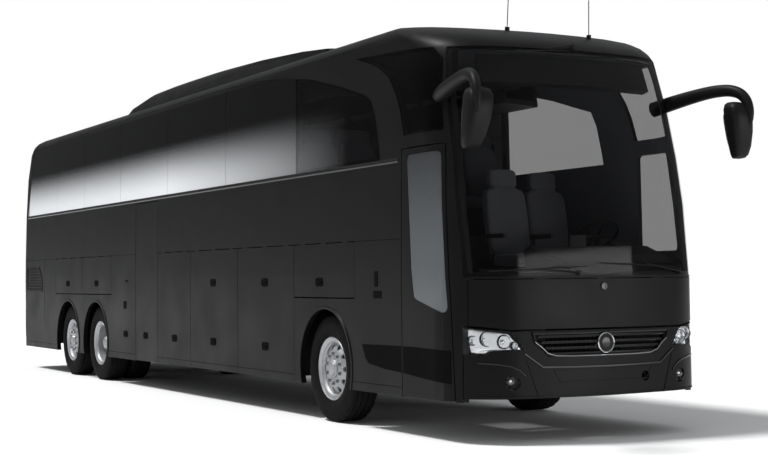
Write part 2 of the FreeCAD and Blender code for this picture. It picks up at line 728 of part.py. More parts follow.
REAR_WINDOW = [(-980, 2460), (980, 2460), (900, 3200), (-900, 3200)]
ENGINE_LID = [(-900, 640), (900, 640), (900, 1960), (-900, 1960)]
TAIL_LAMP = [(-1300, 930), (-1090, 930), (-1090, 1660), (-1300, 1660)]
UNIT_BASE_Z = 3560.0
UNIT_PROFILE = [(2860, 3622), (3640, 3690), (4670, 3744), (6090, 3787), (7320, 3798),
                (8220, 3768), (9030, 3668), (9240, 3590)]
UNIT_HALF = 1080.0


def roof_unit(outer):
    """Return the long fairing of the roof air conditioner, seated on the roof."""
    first = UNIT_PROFILE[0]
    last = UNIT_PROFILE[-1]
    face = outline_face(UNIT_PROFILE + [(last[0], UNIT_BASE_Z), (first[0] - 60, UNIT_BASE_Z)],
                        -UNIT_HALF)
    body = face.extrude(vec(2 * UNIT_HALF, 0, 0))
    corners = [(-UNIT_HALF, UNIT_BASE_Z - 20), (UNIT_HALF, UNIT_BASE_Z - 20),
               (UNIT_HALF - 40, 3800), (-UNIT_HALF + 40, 3800)]
    ring = rounded_outline([(vec(x, 2500, z), r) for (x, z), r in zip(corners, (0, 0, 60, 60))])
    envelope = polygon_face(ring).extrude(vec(0, 7500, 0))
    plan = [(-UNIT_HALF - 20, 2790), (UNIT_HALF + 20, 2790),
            (UNIT_HALF + 20, 9400), (-UNIT_HALF - 20, 9400)]
    plan = rounded_outline([(vec(x, y, 3400), r) for (x, y), r in zip(plan, (420, 420, 160, 160))])
    body = body.common(envelope).common(polygon_face(plan).extrude(vec(0, 0, 600)))
    return body.cut(section_solid(0, 2400, 10000)).removeSplitter()


def build_roof_items(parts, outer):
    """Add the roof unit, hatches and antennas."""
    parts["roof_air_conditioner"] = roof_unit(outer)
    hatches = []
    for y in HATCH_Y:
        hatch = rounded_slab(-380, 380, y - 360, y + 360, 3600, ROOF_TOP_Z + 45, 60)
        hatches.append(hatch.cut(section_solid(0, 2400, 14000)))
    parts["roof_hatches"] = solids_of(hatches)
    masts = []
    for (x, y, z), (tx, ty, tz), r in ANTENNAS:
        foot = bar_between(20, vec(x, y, z - 25), vec(x + tx / 7, y + ty / 7, z + 35), 8)
        rod = bar_between(r, vec(x, y, z), vec(x + tx, y + ty, z + tz), 6)
        masts.append(foot.fuse(rod).cut(nose_solid(0)))
    parts["antennas"] = solids_of(masts)


HATCH_Y = (10300.0, 12100.0)
ANTENNAS = [((-330.0, 930.0, 3540.0), (-12.0, -60.0, 420.0), 4.0),
            ((430.0, 760.0, 3492.0), (-60.0, -90.0, 330.0), 4.0)]


def rounded_slab(x0, x1, y0, y1, z0, z1, radius):
    """Return an upright box with its four upright edges rounded."""
    corners = [(x0, y0), (x1, y0), (x1, y1), (x0, y1)]
    face = polygon_face(rounded_outline([(vec(x, y, z0), radius) for x, y in corners]))
    return face.extrude(vec(0, 0, z1 - z0))


# Underbody
BAY_END_Y = 9310.0
WHEELBOX_INNER_FRONT = 470.0
WHEELBOX_INNER_REAR = 545.0
WHEELBOX_TOP_Z = 1110.0
LINER = 20.0
CHEEK_FOOT_Z = 720.0
RAIL_X = (400.0, 480.0)
RAIL_FRONT_Z = (410.0, 570.0)
RAIL_REAR_Z = (640.0, 770.0)
TOW_SEAT_Y = 150.0
FRONT_BOX_Y = (2110.0, 3335.0)
REAR_BOX_Y = (9440.0, 12020.0)
INNER_HALF = BODY_HALF - WALL
SEAT_PLAY = 0.3
FLAP_CLEAR = 4.0


def wheel_box(inner, y0, y1):
    """Return the left liner of a wheel space, open below and towards the side."""
    outside = INNER_HALF
    top = box(inner, outside, y0, y1, WHEELBOX_TOP_Z, WHEELBOX_TOP_Z + LINER)
    cheek = box(inner - LINER, inner, y0, y1, CHEEK_FOOT_Z, WHEELBOX_TOP_Z + LINER)
    front = box(inner, outside, y0, y0 + LINER, BAY_FLOOR_Z, WHEELBOX_TOP_Z)
    rear = box(inner, outside, y1 - LINER, y1, BAY_FLOOR_Z, WHEELBOX_TOP_Z)
    return fused([top, cheek, front, rear])


def build_underbody(parts):
    """Add the floor frame, the deck, the steps and the engine."""
    pieces = []
    clear = INNER_HALF - GAP - FLAP_CLEAR
    pieces.append(box(-clear, clear, FRONT_BOX_Y[1], BAY_END_Y, BAY_FLOOR_Z - FLOOR_T,
                      BAY_FLOOR_Z))
    rails = [box(*RAIL_X, TOW_SEAT_Y, FRONT_BOX_Y[0] + LINER, *RAIL_FRONT_Z),
             box(*RAIL_X, BAY_END_Y, 13700, *RAIL_REAR_Z)]
    for y in ENGINE_BEARER_Y:
        rails.append(box(*RAIL_X, y, y + 60, ENGINE_Z[0] - 60, RAIL_REAR_Z[0]))
        pieces.append(box(-RAIL_X[1], RAIL_X[1], y, y + 60, ENGINE_Z[0] - 60, ENGINE_Z[0]))
    pieces += both_sides(rails)
    horns = box(560, 640, 0, 190, 430, 550).common(nose_solid(WALL))
    pieces += both_sides([horns])
    pieces.append(box(-clear, clear, BAY_END_Y - LINER, BAY_END_Y,
                      BAY_FLOOR_Z - FLOOR_T, DECK_Z - DECK_T))
    pieces.append(box(-clear, clear, FRONT_BOX_Y[1], FRONT_BOX_Y[1] + LINER,
                      BAY_FLOOR_Z - FLOOR_T, DECK_Z - DECK_T))
    pieces += both_sides([wheel_box(WHEELBOX_INNER_FRONT, *FRONT_BOX_Y),
                          wheel_box(WHEELBOX_INNER_REAR, *REAR_BOX_Y)])
    pieces.append(box(-clear, clear, REAR_BOX_Y[1], REAR_BOX_Y[1] + LINER,
                      640, DECK_Z - DECK_T))
    pieces.append(box(-WHEELBOX_INNER_REAR, WHEELBOX_INNER_REAR, REAR_BOX_Y[0] - 130,
                      REAR_BOX_Y[1] + LINER, WHEELBOX_TOP_Z, WHEELBOX_TOP_Z + LINER))
    pieces.append(box(-WHEELBOX_INNER_FRONT, WHEELBOX_INNER_FRONT, *FRONT_BOX_Y,
                      WHEELBOX_TOP_Z, WHEELBOX_TOP_Z + LINER))
    pieces.append(box(-640, 640, 190, 250, 430, 550))
    pieces.append(box(-RAIL_X[1], RAIL_X[1], 1240, 1300, *RAIL_FRONT_Z))
    pieces.append(box(-clear, clear, FRONT_BOX_Y[0], FRONT_BOX_Y[0] + LINER,
                      WHEELBOX_TOP_Z, DECK_Z - DECK_T))
    floor = box(CAB_FLOOR_X, INNER_HALF, 0, FRONT_BOX_Y[0], CAB_FLOOR_Z - FLOOR_T, CAB_FLOOR_Z)
    pieces.append(floor.common(nose_solid(WALL + SEAT_PLAY)))
    pieces.append(box(RAIL_X[0], RAIL_X[0] + 30, 360, FRONT_BOX_Y[0], RAIL_FRONT_Z[1],
                      CAB_FLOOR_Z - FLOOR_T))
    parts["underframe"] = fused(pieces)

    deck_half = half_width(DECK_Z) - WALL - SEAT_PLAY
    deck = box(-deck_half, deck_half, FRONT_BOX_Y[0], 13740, DECK_Z - DECK_T, DECK_Z)
    deck = deck.cut(box(-INNER_HALF, STAIR_TOP_X, MID_DOOR_Y[0] + 20, MID_DOOR_Y[1] - 20, 1600, 1900))
    front_steps = stair(STEP_OUTER_X, CAB_FLOOR_X, FRONT_TREAD_Z, CAB_FLOOR_Z, 3, 500, 1190)
    inner_steps = []
    rise = (DECK_Z - CAB_FLOOR_Z) / 3
    run = (FRONT_BOX_Y[0] - INNER_STEP_Y) / 3
    for i in range(3):
        inner_steps.append(box(-300, 300, INNER_STEP_Y + run * i, FRONT_BOX_Y[0],
                               CAB_FLOOR_Z + rise * i, CAB_FLOOR_Z + rise * (i + 1)))
    mid_steps = stair(STEP_OUTER_X, STAIR_TOP_X, MID_TREAD_Z, DECK_Z, 6,
                      MID_DOOR_Y[0] + 24, MID_DOOR_Y[1] - 24)
    parts["passenger_deck"] = solids_of([fused([deck, mid_steps] + inner_steps), front_steps])

    parts["engine"] = rounded_slab(-ENGINE_HALF, ENGINE_HALF, *ENGINE_Y, *ENGINE_Z, 80)


STAIR_TOP_X = -25.0
STEP_OUTER_X = -1165.0
FRONT_TREAD_Z = 400.0
MID_TREAD_Z = 470.0
INNER_STEP_Y = 1500.0
ENGINE_HALF = 385.0
ENGINE_Y = (12350.0, 13560.0)
ENGINE_Z = (560.0, 1420.0)
ENGINE_BEARER_Y = (12600.0, 13300.0)
CAB_FLOOR_X = -260.0
STEP_PLATE = 30.0


def stair(x0, x1, z0, z1, count, y0, y1):
    """Return a folded flight of steps that climbs inwards from the door side.

    x0 and x1 are its outer and inner ends, and z0 and z1 its first tread and the floor
    that it reaches.
    """
    rise = (z1 - z0) / count
    tread = (x1 - STEP_PLATE - x0) / count
    upper = [(x0, z0)]
    lower = [(x0, z0 - STEP_PLATE)]
    for i in range(count):
        x = x0 + tread * (i + 1)
        z = z0 + rise * i
        upper += [(x, z), (x, z + rise)]
        lower += [(x + STEP_PLATE, z - STEP_PLATE), (x + STEP_PLATE, z + rise - STEP_PLATE)]
    lower[-1] = (x1, z1)
    return prism_y(upper + list(reversed(lower)), y0, y1)


# Running gear
BRAKE_R = 190.0
BRAKE_T = 34.0
SPINDLE_R = 58.0
BEAM_Z = 430.0
BEAM_H = 60.0
BEAM_HALF_T = 44.0
HUB_INNER_X = 1062.0
KINGPIN_PLAY = 0.05
PIN_FLATS = 20
KNUCKLE_H = 130.0
TYRE_BEAD_R = 290.0
RIM_PLAY = 0.3
RIM_HALF = 118.0
RIM_BORE_R = 244.0
DISC_R = 172.0
DISC_T = 14.0
DISC_OUT = 108.0
HUB_OUT = 138.0
DRIVE_HUB_OUT = 70.0
DRIVE_HUB_R = 100.0
DRIVE_TUBE_X = 590.0
DRIVE_TUBE_R = 85.0
HAND_HOLES = 10
HAND_HOLE_R = 25.0
HAND_HOLE_PCR = 208.0
SPRING_X = 270.0
SPRING_R = 100.0
SHAFT_R = 45.0
SHAFT_LIFT = 60.0


def tyre(centre_x):
    """Return one tyre about the X axis, centred at a place across the coach."""
    w = TYRE_WIDTH / 2
    outline = [(-w + 26, TYRE_BEAD_R), (-w, TYRE_BEAD_R + 88), (-w + 24, TYRE_R), (w - 24, TYRE_R),
               (w, TYRE_BEAD_R + 88), (w - 26, TYRE_BEAD_R)]
    return turned_x([(centre_x + x, r) for x, r in outline], WHEEL_FLATS)


def hand_holes(x0, x1):
    """Return the cutters of the hand holes of a disc that lies between two places."""
    holes = []
    for i in range(HAND_HOLES):
        a = 2 * math.pi * i / HAND_HOLES
        holes.append(bar_x(HAND_HOLE_R, x0, x1, HAND_HOLE_PCR * math.cos(a),
                           HAND_HOLE_PCR * math.sin(a), 8))
    return Part.makeCompound(holes)


def single_rim(c):
    """Return the wheel of a front or tag axle, its disc bulged out, about the X axis."""
    seat = TYRE_BEAD_R - RIM_PLAY
    face = c + DISC_OUT
    wheel = turned_x([
        (c + HUB_OUT, 0), (c + HUB_OUT, HUB_R), (face, HUB_R), (face, DISC_R),
        (face - 46, RIM_BORE_R), (c + RIM_HALF, RIM_BORE_R), (c + RIM_HALF, seat),
        (c - RIM_HALF, seat), (c - RIM_HALF, RIM_BORE_R), (face - 60, RIM_BORE_R),
        (face - DISC_T, DISC_R), (face - DISC_T, HUB_R), (HUB_INNER_X, HUB_R), (HUB_INNER_X, 0),
    ], WHEEL_FLATS)
    return wheel.cut(hand_holes(face - 100, face + 20))


def twin_rims(outer, inner):
    """Return the two wheels of a drive hub, their dished discs back to back."""
    seat = TYRE_BEAD_R - RIM_PLAY
    mid = (outer + inner) / 2
    outside = turned_x([
        (outer + DRIVE_HUB_OUT, 0), (outer + DRIVE_HUB_OUT, DRIVE_HUB_R),
        (mid + DISC_T, DRIVE_HUB_R), (mid + DISC_T, DISC_R), (mid + 66, RIM_BORE_R),
        (outer + RIM_HALF, RIM_BORE_R), (outer + RIM_HALF, seat), (outer - RIM_HALF, seat),
        (outer - RIM_HALF, RIM_BORE_R + 6), (mid, DISC_R), (mid, 0),
    ], WHEEL_FLATS)
    tube = DRIVE_TUBE_X + HUB_PLAY
    inside = turned_x([
        (mid, 0), (mid, DISC_R), (inner + RIM_HALF, RIM_BORE_R + 6), (inner + RIM_HALF, seat),
        (inner - RIM_HALF, seat), (inner - RIM_HALF, RIM_BORE_R), (mid - 66, RIM_BORE_R),
        (mid - DISC_T, DISC_R), (mid - DISC_T, DRIVE_HUB_R), (tube, DRIVE_HUB_R), (tube, 0),
    ], WHEEL_FLATS)
    return fused([outside.cut(hand_holes(mid + 1, mid + 100)), inside])


def placed(shape, y, side):
    """Move a piece made for the left side at the axle line to its station."""
    moved = shape if side > 0 else mirrored(shape)
    moved = moved.copy()
    moved.translate(vec(0, y, TYRE_R))
    return moved


def knuckle():
    """Return the left steering knuckle about the axle line, with its brake and stub."""
    room = box(KINGPIN_X - 200, KINGPIN_X + 58, -200, 200, -BEAM_H - 5, BEAM_H + 5)
    sleeve = bar_z(KINGPIN_R + 34, -KNUCKLE_H, KNUCKLE_H, KINGPIN_X, 0)
    ears = box(KINGPIN_X, KINGPIN_X + 60, -50, 50, -KNUCKLE_H, KNUCKLE_H)
    wall = box(KINGPIN_X + 58, KINGPIN_X + 76, -60, 60, -KNUCKLE_H, KNUCKLE_H)
    stub = bar_x(SPINDLE_R, KINGPIN_X + 64, HUB_INNER_X - HUB_PLAY, 0, 0)
    brake = bar_x(BRAKE_R, KINGPIN_X + 60, KINGPIN_X + 60 + BRAKE_T, 0, 0, ROUND_FLATS)
    arm = box(KINGPIN_X - 75, KINGPIN_X - 35, 30, 250, 2 - KNUCKLE_H, 42 - KNUCKLE_H)
    link = box(KINGPIN_X - 75, KINGPIN_X + 20, 30, 90, 2 - KNUCKLE_H, 42 - KNUCKLE_H)
    body = fused([sleeve.cut(room), ears.cut(room), wall, stub, brake, arm, link])
    return body.cut(bar_z(KINGPIN_R, -300, 300, KINGPIN_X, 0, PIN_FLATS))


def axle_beam(half, pinned):
    """Return a dropped axle beam about its wheels' line, with kingpins where it steers."""
    drop = BEAM_Z - TYRE_R
    outline = [(-half, -BEAM_H), (-half + 180, -BEAM_H), (-half + 300, -BEAM_H + drop),
               (half - 300, -BEAM_H + drop), (half - 180, -BEAM_H), (half, -BEAM_H),
               (half, BEAM_H), (half - 220, BEAM_H), (half - 340, BEAM_H + drop),
               (-half + 340, BEAM_H + drop), (-half + 220, BEAM_H), (-half, BEAM_H)]
    shapes = [prism_y(outline, -BEAM_HALF_T, BEAM_HALF_T)]
    if pinned:
        reach = KNUCKLE_H + 20
        pin_r = (KINGPIN_R - KINGPIN_PLAY) * math.cos(math.pi / PIN_FLATS)
        for x in (-half, half):
            shapes.append(bar_z(BEAM_HALF_T + 6, -BEAM_H, BEAM_H, x, 0))
            shapes.append(bar_z(pin_r, -reach, reach, x, 0, PIN_FLATS))
    else:
        spindle = HUB_INNER_X - HUB_PLAY
        shapes += both_sides([bar_x(SPINDLE_R, half - 60, spindle, 0, 0)])
        for x in (-half, half):
            shapes.append(bar_x(BRAKE_R, x - BRAKE_T / 2, x + BRAKE_T / 2, 0, 0, ROUND_FLATS))
    return fused(shapes)


def air_springs(y, z0):
    """Return both air springs between an axle and the plate above it."""
    return both_sides([bar_z(SPRING_R, z0, WHEELBOX_TOP_Z, SPRING_X, y)])


def build_running_gear(parts):
    """Add axles, knuckles and wheels."""
    front = placed(axle_beam(KINGPIN_X, True), FRONT_AXLE_Y, 1)
    tag = placed(axle_beam(KINGPIN_X, False), TAG_AXLE_Y, 1)
    casing = turned_x([(-200, 0), (-200, 90), (-110, 200), (110, 200), (200, 90), (200, 0)], ROUND_FLATS)
    drive = fused([
        bar_x(DRIVE_TUBE_R, -DRIVE_TUBE_X, DRIVE_TUBE_X, DRIVE_AXLE_Y, TYRE_R),
        placed(casing, DRIVE_AXLE_Y, 1),
        bar_x(BRAKE_R, -DRIVE_TUBE_X + 6, -DRIVE_TUBE_X + 40, DRIVE_AXLE_Y, TYRE_R),
        bar_x(BRAKE_R, DRIVE_TUBE_X - 40, DRIVE_TUBE_X - 6, DRIVE_AXLE_Y, TYRE_R),
        bar_y(SHAFT_R, DRIVE_AXLE_Y + 150, ENGINE_Y[0], 0, TYRE_R + SHAFT_LIFT),
    ] + air_springs(DRIVE_AXLE_Y, TYRE_R + DRIVE_TUBE_R - 10))
    front = fused([front] + air_springs(FRONT_AXLE_Y, BEAM_Z + BEAM_H))
    tag = fused([tag] + air_springs(TAG_AXLE_Y, BEAM_Z + BEAM_H))
    parts["axles"] = solids_of([front, drive, tag])

    centre = WHEEL_OUTER_X - TYRE_WIDTH / 2
    inner = centre - TWIN_SPACING
    tyre_single = tyre(centre)
    tyre_twin = solids_of([tyre_single, tyre(inner)])
    rim_single = single_rim(centre)
    rim_twin = twin_rims(centre, inner)
    steering = knuckle()
    for side in (1, -1):
        word = "left" if side > 0 else "right"
        parts["front_tyre_" + word] = placed(tyre_single, FRONT_AXLE_Y, side)
        parts["front_rim_" + word] = placed(rim_single, FRONT_AXLE_Y, side)
        parts["tag_tyre_" + word] = placed(tyre_single, TAG_AXLE_Y, side)
        parts["tag_rim_" + word] = placed(rim_single, TAG_AXLE_Y, side)
        parts["drive_tyres_" + word] = placed(tyre_twin, DRIVE_AXLE_Y, side)
        parts["drive_rims_" + word] = placed(rim_twin, DRIVE_AXLE_Y, side)
        parts["front_knuckle_" + word] = placed(steering, FRONT_AXLE_Y, side)


# Cabin
SEAT_PITCH = 820.0
SEAT_ROWS = 13
SEAT_FIRST_Y = 3000.0
SEAT_X = (300.0, 1180.0)


def seat(x0, x1, y, z):
    """Return one seat: cushion, back and pedestal, with its front at y and floor at z."""
    outline = [(0, 330), (430, 310), (590, 1090), (570, 1130), (520, 1140), (480, 1100),
               (365, 440), (20, 450), (-10, 420)]
    shell = prism_x([(y + a, z + b) for a, b in outline], x0, x1)
    leg = box(x0 + 120, x1 - 120, y + 120, y + 300, z, z + 330)
    return shell.fuse(leg).removeSplitter()


def build_cabin(parts):
    """Add seats, racks, dashboard and crew seats."""
    seats = []
    for i in range(SEAT_ROWS):
        y = SEAT_FIRST_Y + SEAT_PITCH * i
        left = seat(SEAT_X[0], SEAT_X[1], y, DECK_Z)
        seats.append(left)
        blocked = y + 590 > MID_DOOR_Y[0] - 60 and y < MID_DOOR_Y[1] + 60
        if not blocked:
            seats.append(mirrored(left))
    parts["passenger_seats"] = solids_of(seats)

    outline = [(780, 3150), (1180, 3120), (1180, 3160), (1150, 3330), (1120, 3335), (1120, 3180),
               (800, 3200), (790, 3290), (760, 3290)]
    rack = prism_y([(x, z) for x, z in outline], 2700, 13300)
    hangers = [box(1125, 1172, y, y + 30, 3250, 3560) for y in (2900, 5600, 8300, 11000, 12700)]
    hangers = [h.common(section_solid(WALL, 2500, 13500)) for h in hangers]
    parts["luggage_racks"] = solids_of(both_sides([fused([rack] + hangers)]))

    dash = [(175, 1385), (330, 1480), (640, 1560), (860, 1640), (960, 1600), (900, 1300),
            (820, 1110), (700, CAB_FLOOR_Z), (440, CAB_FLOOR_Z), (400, 1290), (175, 1330)]
    left = prism_x(dash, -170, 1120)
    ledge = [(175, 1385), (380, 1440), (470, 1430), (440, 1330), (175, 1330)]
    right = prism_x(ledge, -1040, -170)
    body = fused([left, right]).common(nose_solid(WALL + 12))
    hub = vec(*WHEEL_HUB)
    tilt = math.radians(STEER_TILT)
    axis = vec(0, math.sin(tilt), math.cos(tilt))
    column = bar_between(38, hub - axis * COLUMN_FOOT, hub - axis * (HUB_DEPTH + HUB_PLAY))
    parts["dashboard"] = fused([body, column])

    driver = crew_seat(650, 1500, CAB_FLOOR_Z)
    guide = crew_seat(20, 1230, CAB_FLOOR_Z)
    parts["crew_seats"] = solids_of([driver, guide])
    ring = [(17, 225), (8, 240), (-8, 240), (-17, 225), (-8, 210), (8, 210)]
    wheel = turned_x(ring, 24)
    wheel.rotate(vec(0, 0, 0), vec(0, 1, 0), -90)
    spokes = [box(-225, 225, -16, 16, -6, 6), box(-16, 16, -225, 0, -6, 6),
              bar_z(60, -HUB_DEPTH, 18, 0, 0)]
    wheel = fused([wheel] + spokes)
    wheel.rotate(vec(0, 0, 0), vec(1, 0, 0), -STEER_TILT)
    wheel.translate(vec(*WHEEL_HUB))
    parts["steering_wheel"] = wheel


WHEEL_HUB = (650.0, 1010.0, 1730.0)
STEER_TILT = 36.0
HUB_DEPTH = 30.0
COLUMN_FOOT = 324.0


def crew_seat(x, y, z):
    """Return a high-backed crew seat centred across at x."""
    cushion = rounded_slab(x - 250, x + 250, y - 240, y + 230, z + 380, z + 500, 60)
    back = [(y + 170, z + 440), (y + 300, z + 440), (y + 440, z + 1120), (y + 430, z + 1290),
            (y + 340, z + 1290), (y + 330, z + 1120)]
    back = prism_x(back, x - 230, x + 230)
    leg = bar_z(110, z, z + 390, x, y)
    return fused([cushion, back, leg])


# Doors
def door_open_angle():
    """Return the swing of a door arm in degrees, from the reach and the open offset."""
    closed = math.degrees(math.asin(ARM_INSET / ARM_REACH))
    opened = 180 - math.degrees(math.asin((DOOR_OPEN_OUT + ARM_INSET) / ARM_REACH))
    return opened - closed


def arm_points(edge_y, forward):
    """Return the post, neck and tip of a door arm in plan, for a closed door.

    edge_y is the door's edge at the post, and forward is +1 where the leaf swings
    towards the front and -1 where it swings rearwards.
    """
    post = vec(-BODY_HALF + ARM_POST_INSET, edge_y + forward * ARM_EDGE, 0)
    closed = math.asin(ARM_INSET / ARM_REACH)
    tip = post + vec(-math.sin(closed), forward * math.cos(closed), 0) * ARM_REACH
    turn = math.radians(95.0 - door_open_angle())
    neck = post + vec(-math.sin(turn), forward * math.cos(turn), 0) * ARM_NECK
    return post, neck, tip


ARM_EDGE = 60.0
ARM_T = 26.0
ARM_H = 40.0
ARM_PLAY = 0.3
LUG_H = 30.0


def swing_arm(edge_y, forward, z_levels, z_foot, z_top):
    """Return a swan-necked door arm with its post and tip pin."""
    post, neck, tip = arm_points(edge_y, forward)
    shapes = [bar_z(ARM_POST_R, z_foot, z_top, post.x, post.y)]
    for z in z_levels:
        for a, b in ((post, neck), (neck, tip)):
            run = b - a
            bar = Part.makeBox(run.Length, ARM_T, ARM_H, vec(0, -ARM_T / 2, z))
            bar.rotate(vec(0, 0, 0), vec(0, 0, 1), math.degrees(math.atan2(run.y, run.x)))
            bar.translate(vec(a.x, a.y, 0))
            shapes.append(bar)
            shapes.append(bar_z(ARM_T / 2, z, z + ARM_H, b.x, b.y, 8))
    return fused(shapes)


def build_door_arms(parts):
    """Add the swing arms of both doors and their lugs."""
    front = arm_points(FRONT_DOOR_EDGE_Y, 1)
    parts["front_door_arm"] = swing_arm(FRONT_DOOR_EDGE_Y, 1, FRONT_ARM_Z,
                                        FRONT_TREAD_Z + ARM_PLAY, DOOR_TOP_Z - 15)
    parts["mid_door_arm"] = swing_arm(MID_DOOR_Y[1], -1, MID_ARM_Z, MID_TREAD_Z + ARM_PLAY,
                                      MID_DOOR_TOP_Z - 60)
    mid = arm_points(MID_DOOR_Y[1], -1)
    for name, tip, levels in (("front_door_leaf", front[2], FRONT_ARM_Z),
                              ("mid_door_leaf", mid[2], MID_ARM_Z)):
        lugs = []
        for z in levels:
            for low in (z - LUG_H - ARM_PLAY, z + ARM_H + ARM_PLAY):
                lugs.append(box(-BODY_HALF + WALL - 12, tip.x + 18, tip.y - 22, tip.y + 22, low, low + LUG_H))
        parts[name] = parts[name].fuse(fused(lugs)).removeSplitter()


FRONT_DOOR_EDGE_Y = 515.0
FRONT_ARM_Z = (700.0, 2410.0)
MID_ARM_Z = (800.0, 2150.0)


# Small outside pieces
MIRROR_X = (1185.0, 1450.0)
MIRROR_Z = (2375.0, 2865.0)
MIRROR_Y = (-300.0, -70.0)


def mirror_set():
    """Return the left mirror: a curved arm from the roof corner and the hanging head."""
    x0, x1 = MIRROR_X
    y0, y1 = MIRROR_Y
    z0, z1 = MIRROR_Z
    face = [(x0 + 30, z0), (x1 - 45, z0), (x1, z0 + 95), (x1 - 5, z1 - 65), (x1 - 60, z1),
            (x0 + 30, z1), (x0, z1 - 75), (x0 + 5, z0 + 65)]
    plan = [(x0, y1 - 20), (x0 + 25, y1), (x1 - 25, y1), (x1, y1 - 20), (x1, y0 + 100),
            (x1 - 50, y0 + 15), (x1 - 200, y0), (x0 + 10, y0 + 60)]
    head = prism_y(face, y0, y1).common(prism_z(plan, z0, z1))
    front = [(960, 2840), (970, 2985), (1090, 3020), (1250, 3010), (1390, 2960), (1435, 2860),
             (1330, 2830), (1280, 2895), (1190, 2920), (1080, 2880)]
    above = [(940, 380), (1040, 540), (1130, 660), (1215, 660), (1230, 420), (1330, 30), (x1 - 5, -80), (x1 - 5, -230),
             (1310, -265), (1180, -80), (1060, 180)]
    arm = prism_y(front, -400, 700).common(prism_z(above, 2700, 3100))
    return fused([head, arm.cut(nose_solid(0))])


def build_small(parts):
    """Add mirrors, wipers and tow sockets."""
    one = mirror_set()
    parts["mirrors"] = solids_of(both_sides([one]))

    far = nose_solid(-WIPER_STAND).cut(nose_solid(WIPER_T - WIPER_STAND))
    over_glass = nose_solid(-WIPER_STAND).cut(nose_solid(GLASS_SET - WIPER_PLAY))
    over_shell = nose_solid(-WIPER_STAND).cut(nose_solid(-WIPER_PLAY))
    sets = []
    for pivot, tip, blade in WIPERS:
        pillar = over_shell if pivot[1] > SCREEN_TOP_Z else over_glass
        sets.append(fused([strip(pillar, [(pivot[0] - 22, pivot[1] - 22), (pivot[0] + 22, pivot[1] - 22),
                                          (pivot[0] + 22, pivot[1] + 22), (pivot[0] - 22, pivot[1] + 22)]),
                           strip(far, thick_line(pivot, tip, 26)),
                           strip(over_glass, thick_line(blade[0], blade[1], 22))]))
    parts["wipers"] = solids_of(sets)

    sockets = []
    rear_end = BODY_LENGTH - TOW_SEAT_Y
    for x, y0, z in ((TOW_X, TOW_SEAT_Y - TOW_LENGTH, TOW_Z), (-TOW_X, rear_end, TOW_Z + 60)):
        tube = bar_y(TOW_TUBE_R, y0, y0 + TOW_LENGTH, x, z)
        sockets.append(tube.cut(cylinder_y(TOW_BORE_R, y0 - 1, y0 + TOW_LENGTH + 1, x, z)))
    parts["tow_sockets"] = solids_of(sockets)
    arm = box(-RAIL_X[1], -RAIL_X[0], 13600, rear_end, TOW_Z + 60 - TOW_TUBE_R, RAIL_REAR_Z[1])
    parts["underframe"] = fused([parts["underframe"], arm])


WIPERS = [
    ((-250.0, 1400.0), (-640.0, 1432.0), ((-1020.0, 1415.0), (-170.0, 1450.0))),
    ((860.0, 1400.0), (450.0, 1470.0), ((-40.0, 1478.0), (800.0, 1440.0))),
    ((30.0, 3352.0), (-300.0, 3300.0), ((-660.0, 3270.0), (-40.0, 3305.0))),
]


WIPER_STAND = 30.0
WIPER_T = 12.0
WIPER_PLAY = 0.3


def thick_line(a, b, width):
    """Return the four corners of a bar between two (x, z) points."""
    run = math.hypot(b[0] - a[0], b[1] - a[1])
    nx = -(b[1] - a[1]) / run * width / 2
    nz = (b[0] - a[0]) / run * width / 2
    return [(a[0] + nx, a[1] + nz), (a[0] - nx, a[1] - nz), (b[0] - nx, b[1] - nz), (b[0] + nx, b[1] + nz)]


def strip(shell, outline):
    """Return the part of a shell ahead of the cab within a front-view outline."""
    return shell.common(prism_y(outline, -300, 1100))


def main():
    """Build every piece and write one file for each."""
    parts = {}
    build_front(parts)
    outer = build_sides(parts)
    build_roof_items(parts, outer)
    build_underbody(parts)
    build_running_gear(parts)
    build_cabin(parts)
    build_door_arms(parts)
    build_small(parts)
    shift = vec(0, -(BODY_LENGTH + MIRROR_Y[0]) / 2, 0)
    os.makedirs("parts", exist_ok=True)
    for name, shape in parts.items():
        piece = solids_of([shape])
        piece.translate(shift)
        piece.exportStep("parts/%s.step" % name)


main()
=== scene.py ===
"""Look of the black three-axle touring coach: finishes, fittings, lights and camera."""

import json
import logging
import math
from collections.abc import Sequence
from dataclasses import dataclass, field
from enum import Enum

import bmesh
import bpy
from bpy.types import ID, Material, Mesh, Node, NodeSocket, NodeTree, Object, World
from mathutils import Matrix, Vector


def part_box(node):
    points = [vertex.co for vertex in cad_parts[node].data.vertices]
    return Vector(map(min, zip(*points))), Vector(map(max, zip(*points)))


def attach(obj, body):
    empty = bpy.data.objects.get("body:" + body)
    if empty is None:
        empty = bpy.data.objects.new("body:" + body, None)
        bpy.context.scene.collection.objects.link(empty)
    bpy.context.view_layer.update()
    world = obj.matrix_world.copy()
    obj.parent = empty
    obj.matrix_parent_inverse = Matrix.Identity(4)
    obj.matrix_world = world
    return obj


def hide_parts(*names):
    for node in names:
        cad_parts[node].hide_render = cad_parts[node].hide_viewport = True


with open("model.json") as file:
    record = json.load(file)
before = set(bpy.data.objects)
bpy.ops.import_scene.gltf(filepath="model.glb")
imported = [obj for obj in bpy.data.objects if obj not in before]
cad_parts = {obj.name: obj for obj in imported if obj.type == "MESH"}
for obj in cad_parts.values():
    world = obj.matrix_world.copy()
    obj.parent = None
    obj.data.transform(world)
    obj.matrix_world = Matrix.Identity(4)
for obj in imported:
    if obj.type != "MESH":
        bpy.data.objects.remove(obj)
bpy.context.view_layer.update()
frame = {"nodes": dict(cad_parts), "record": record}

LOG = logging.getLogger("coach")
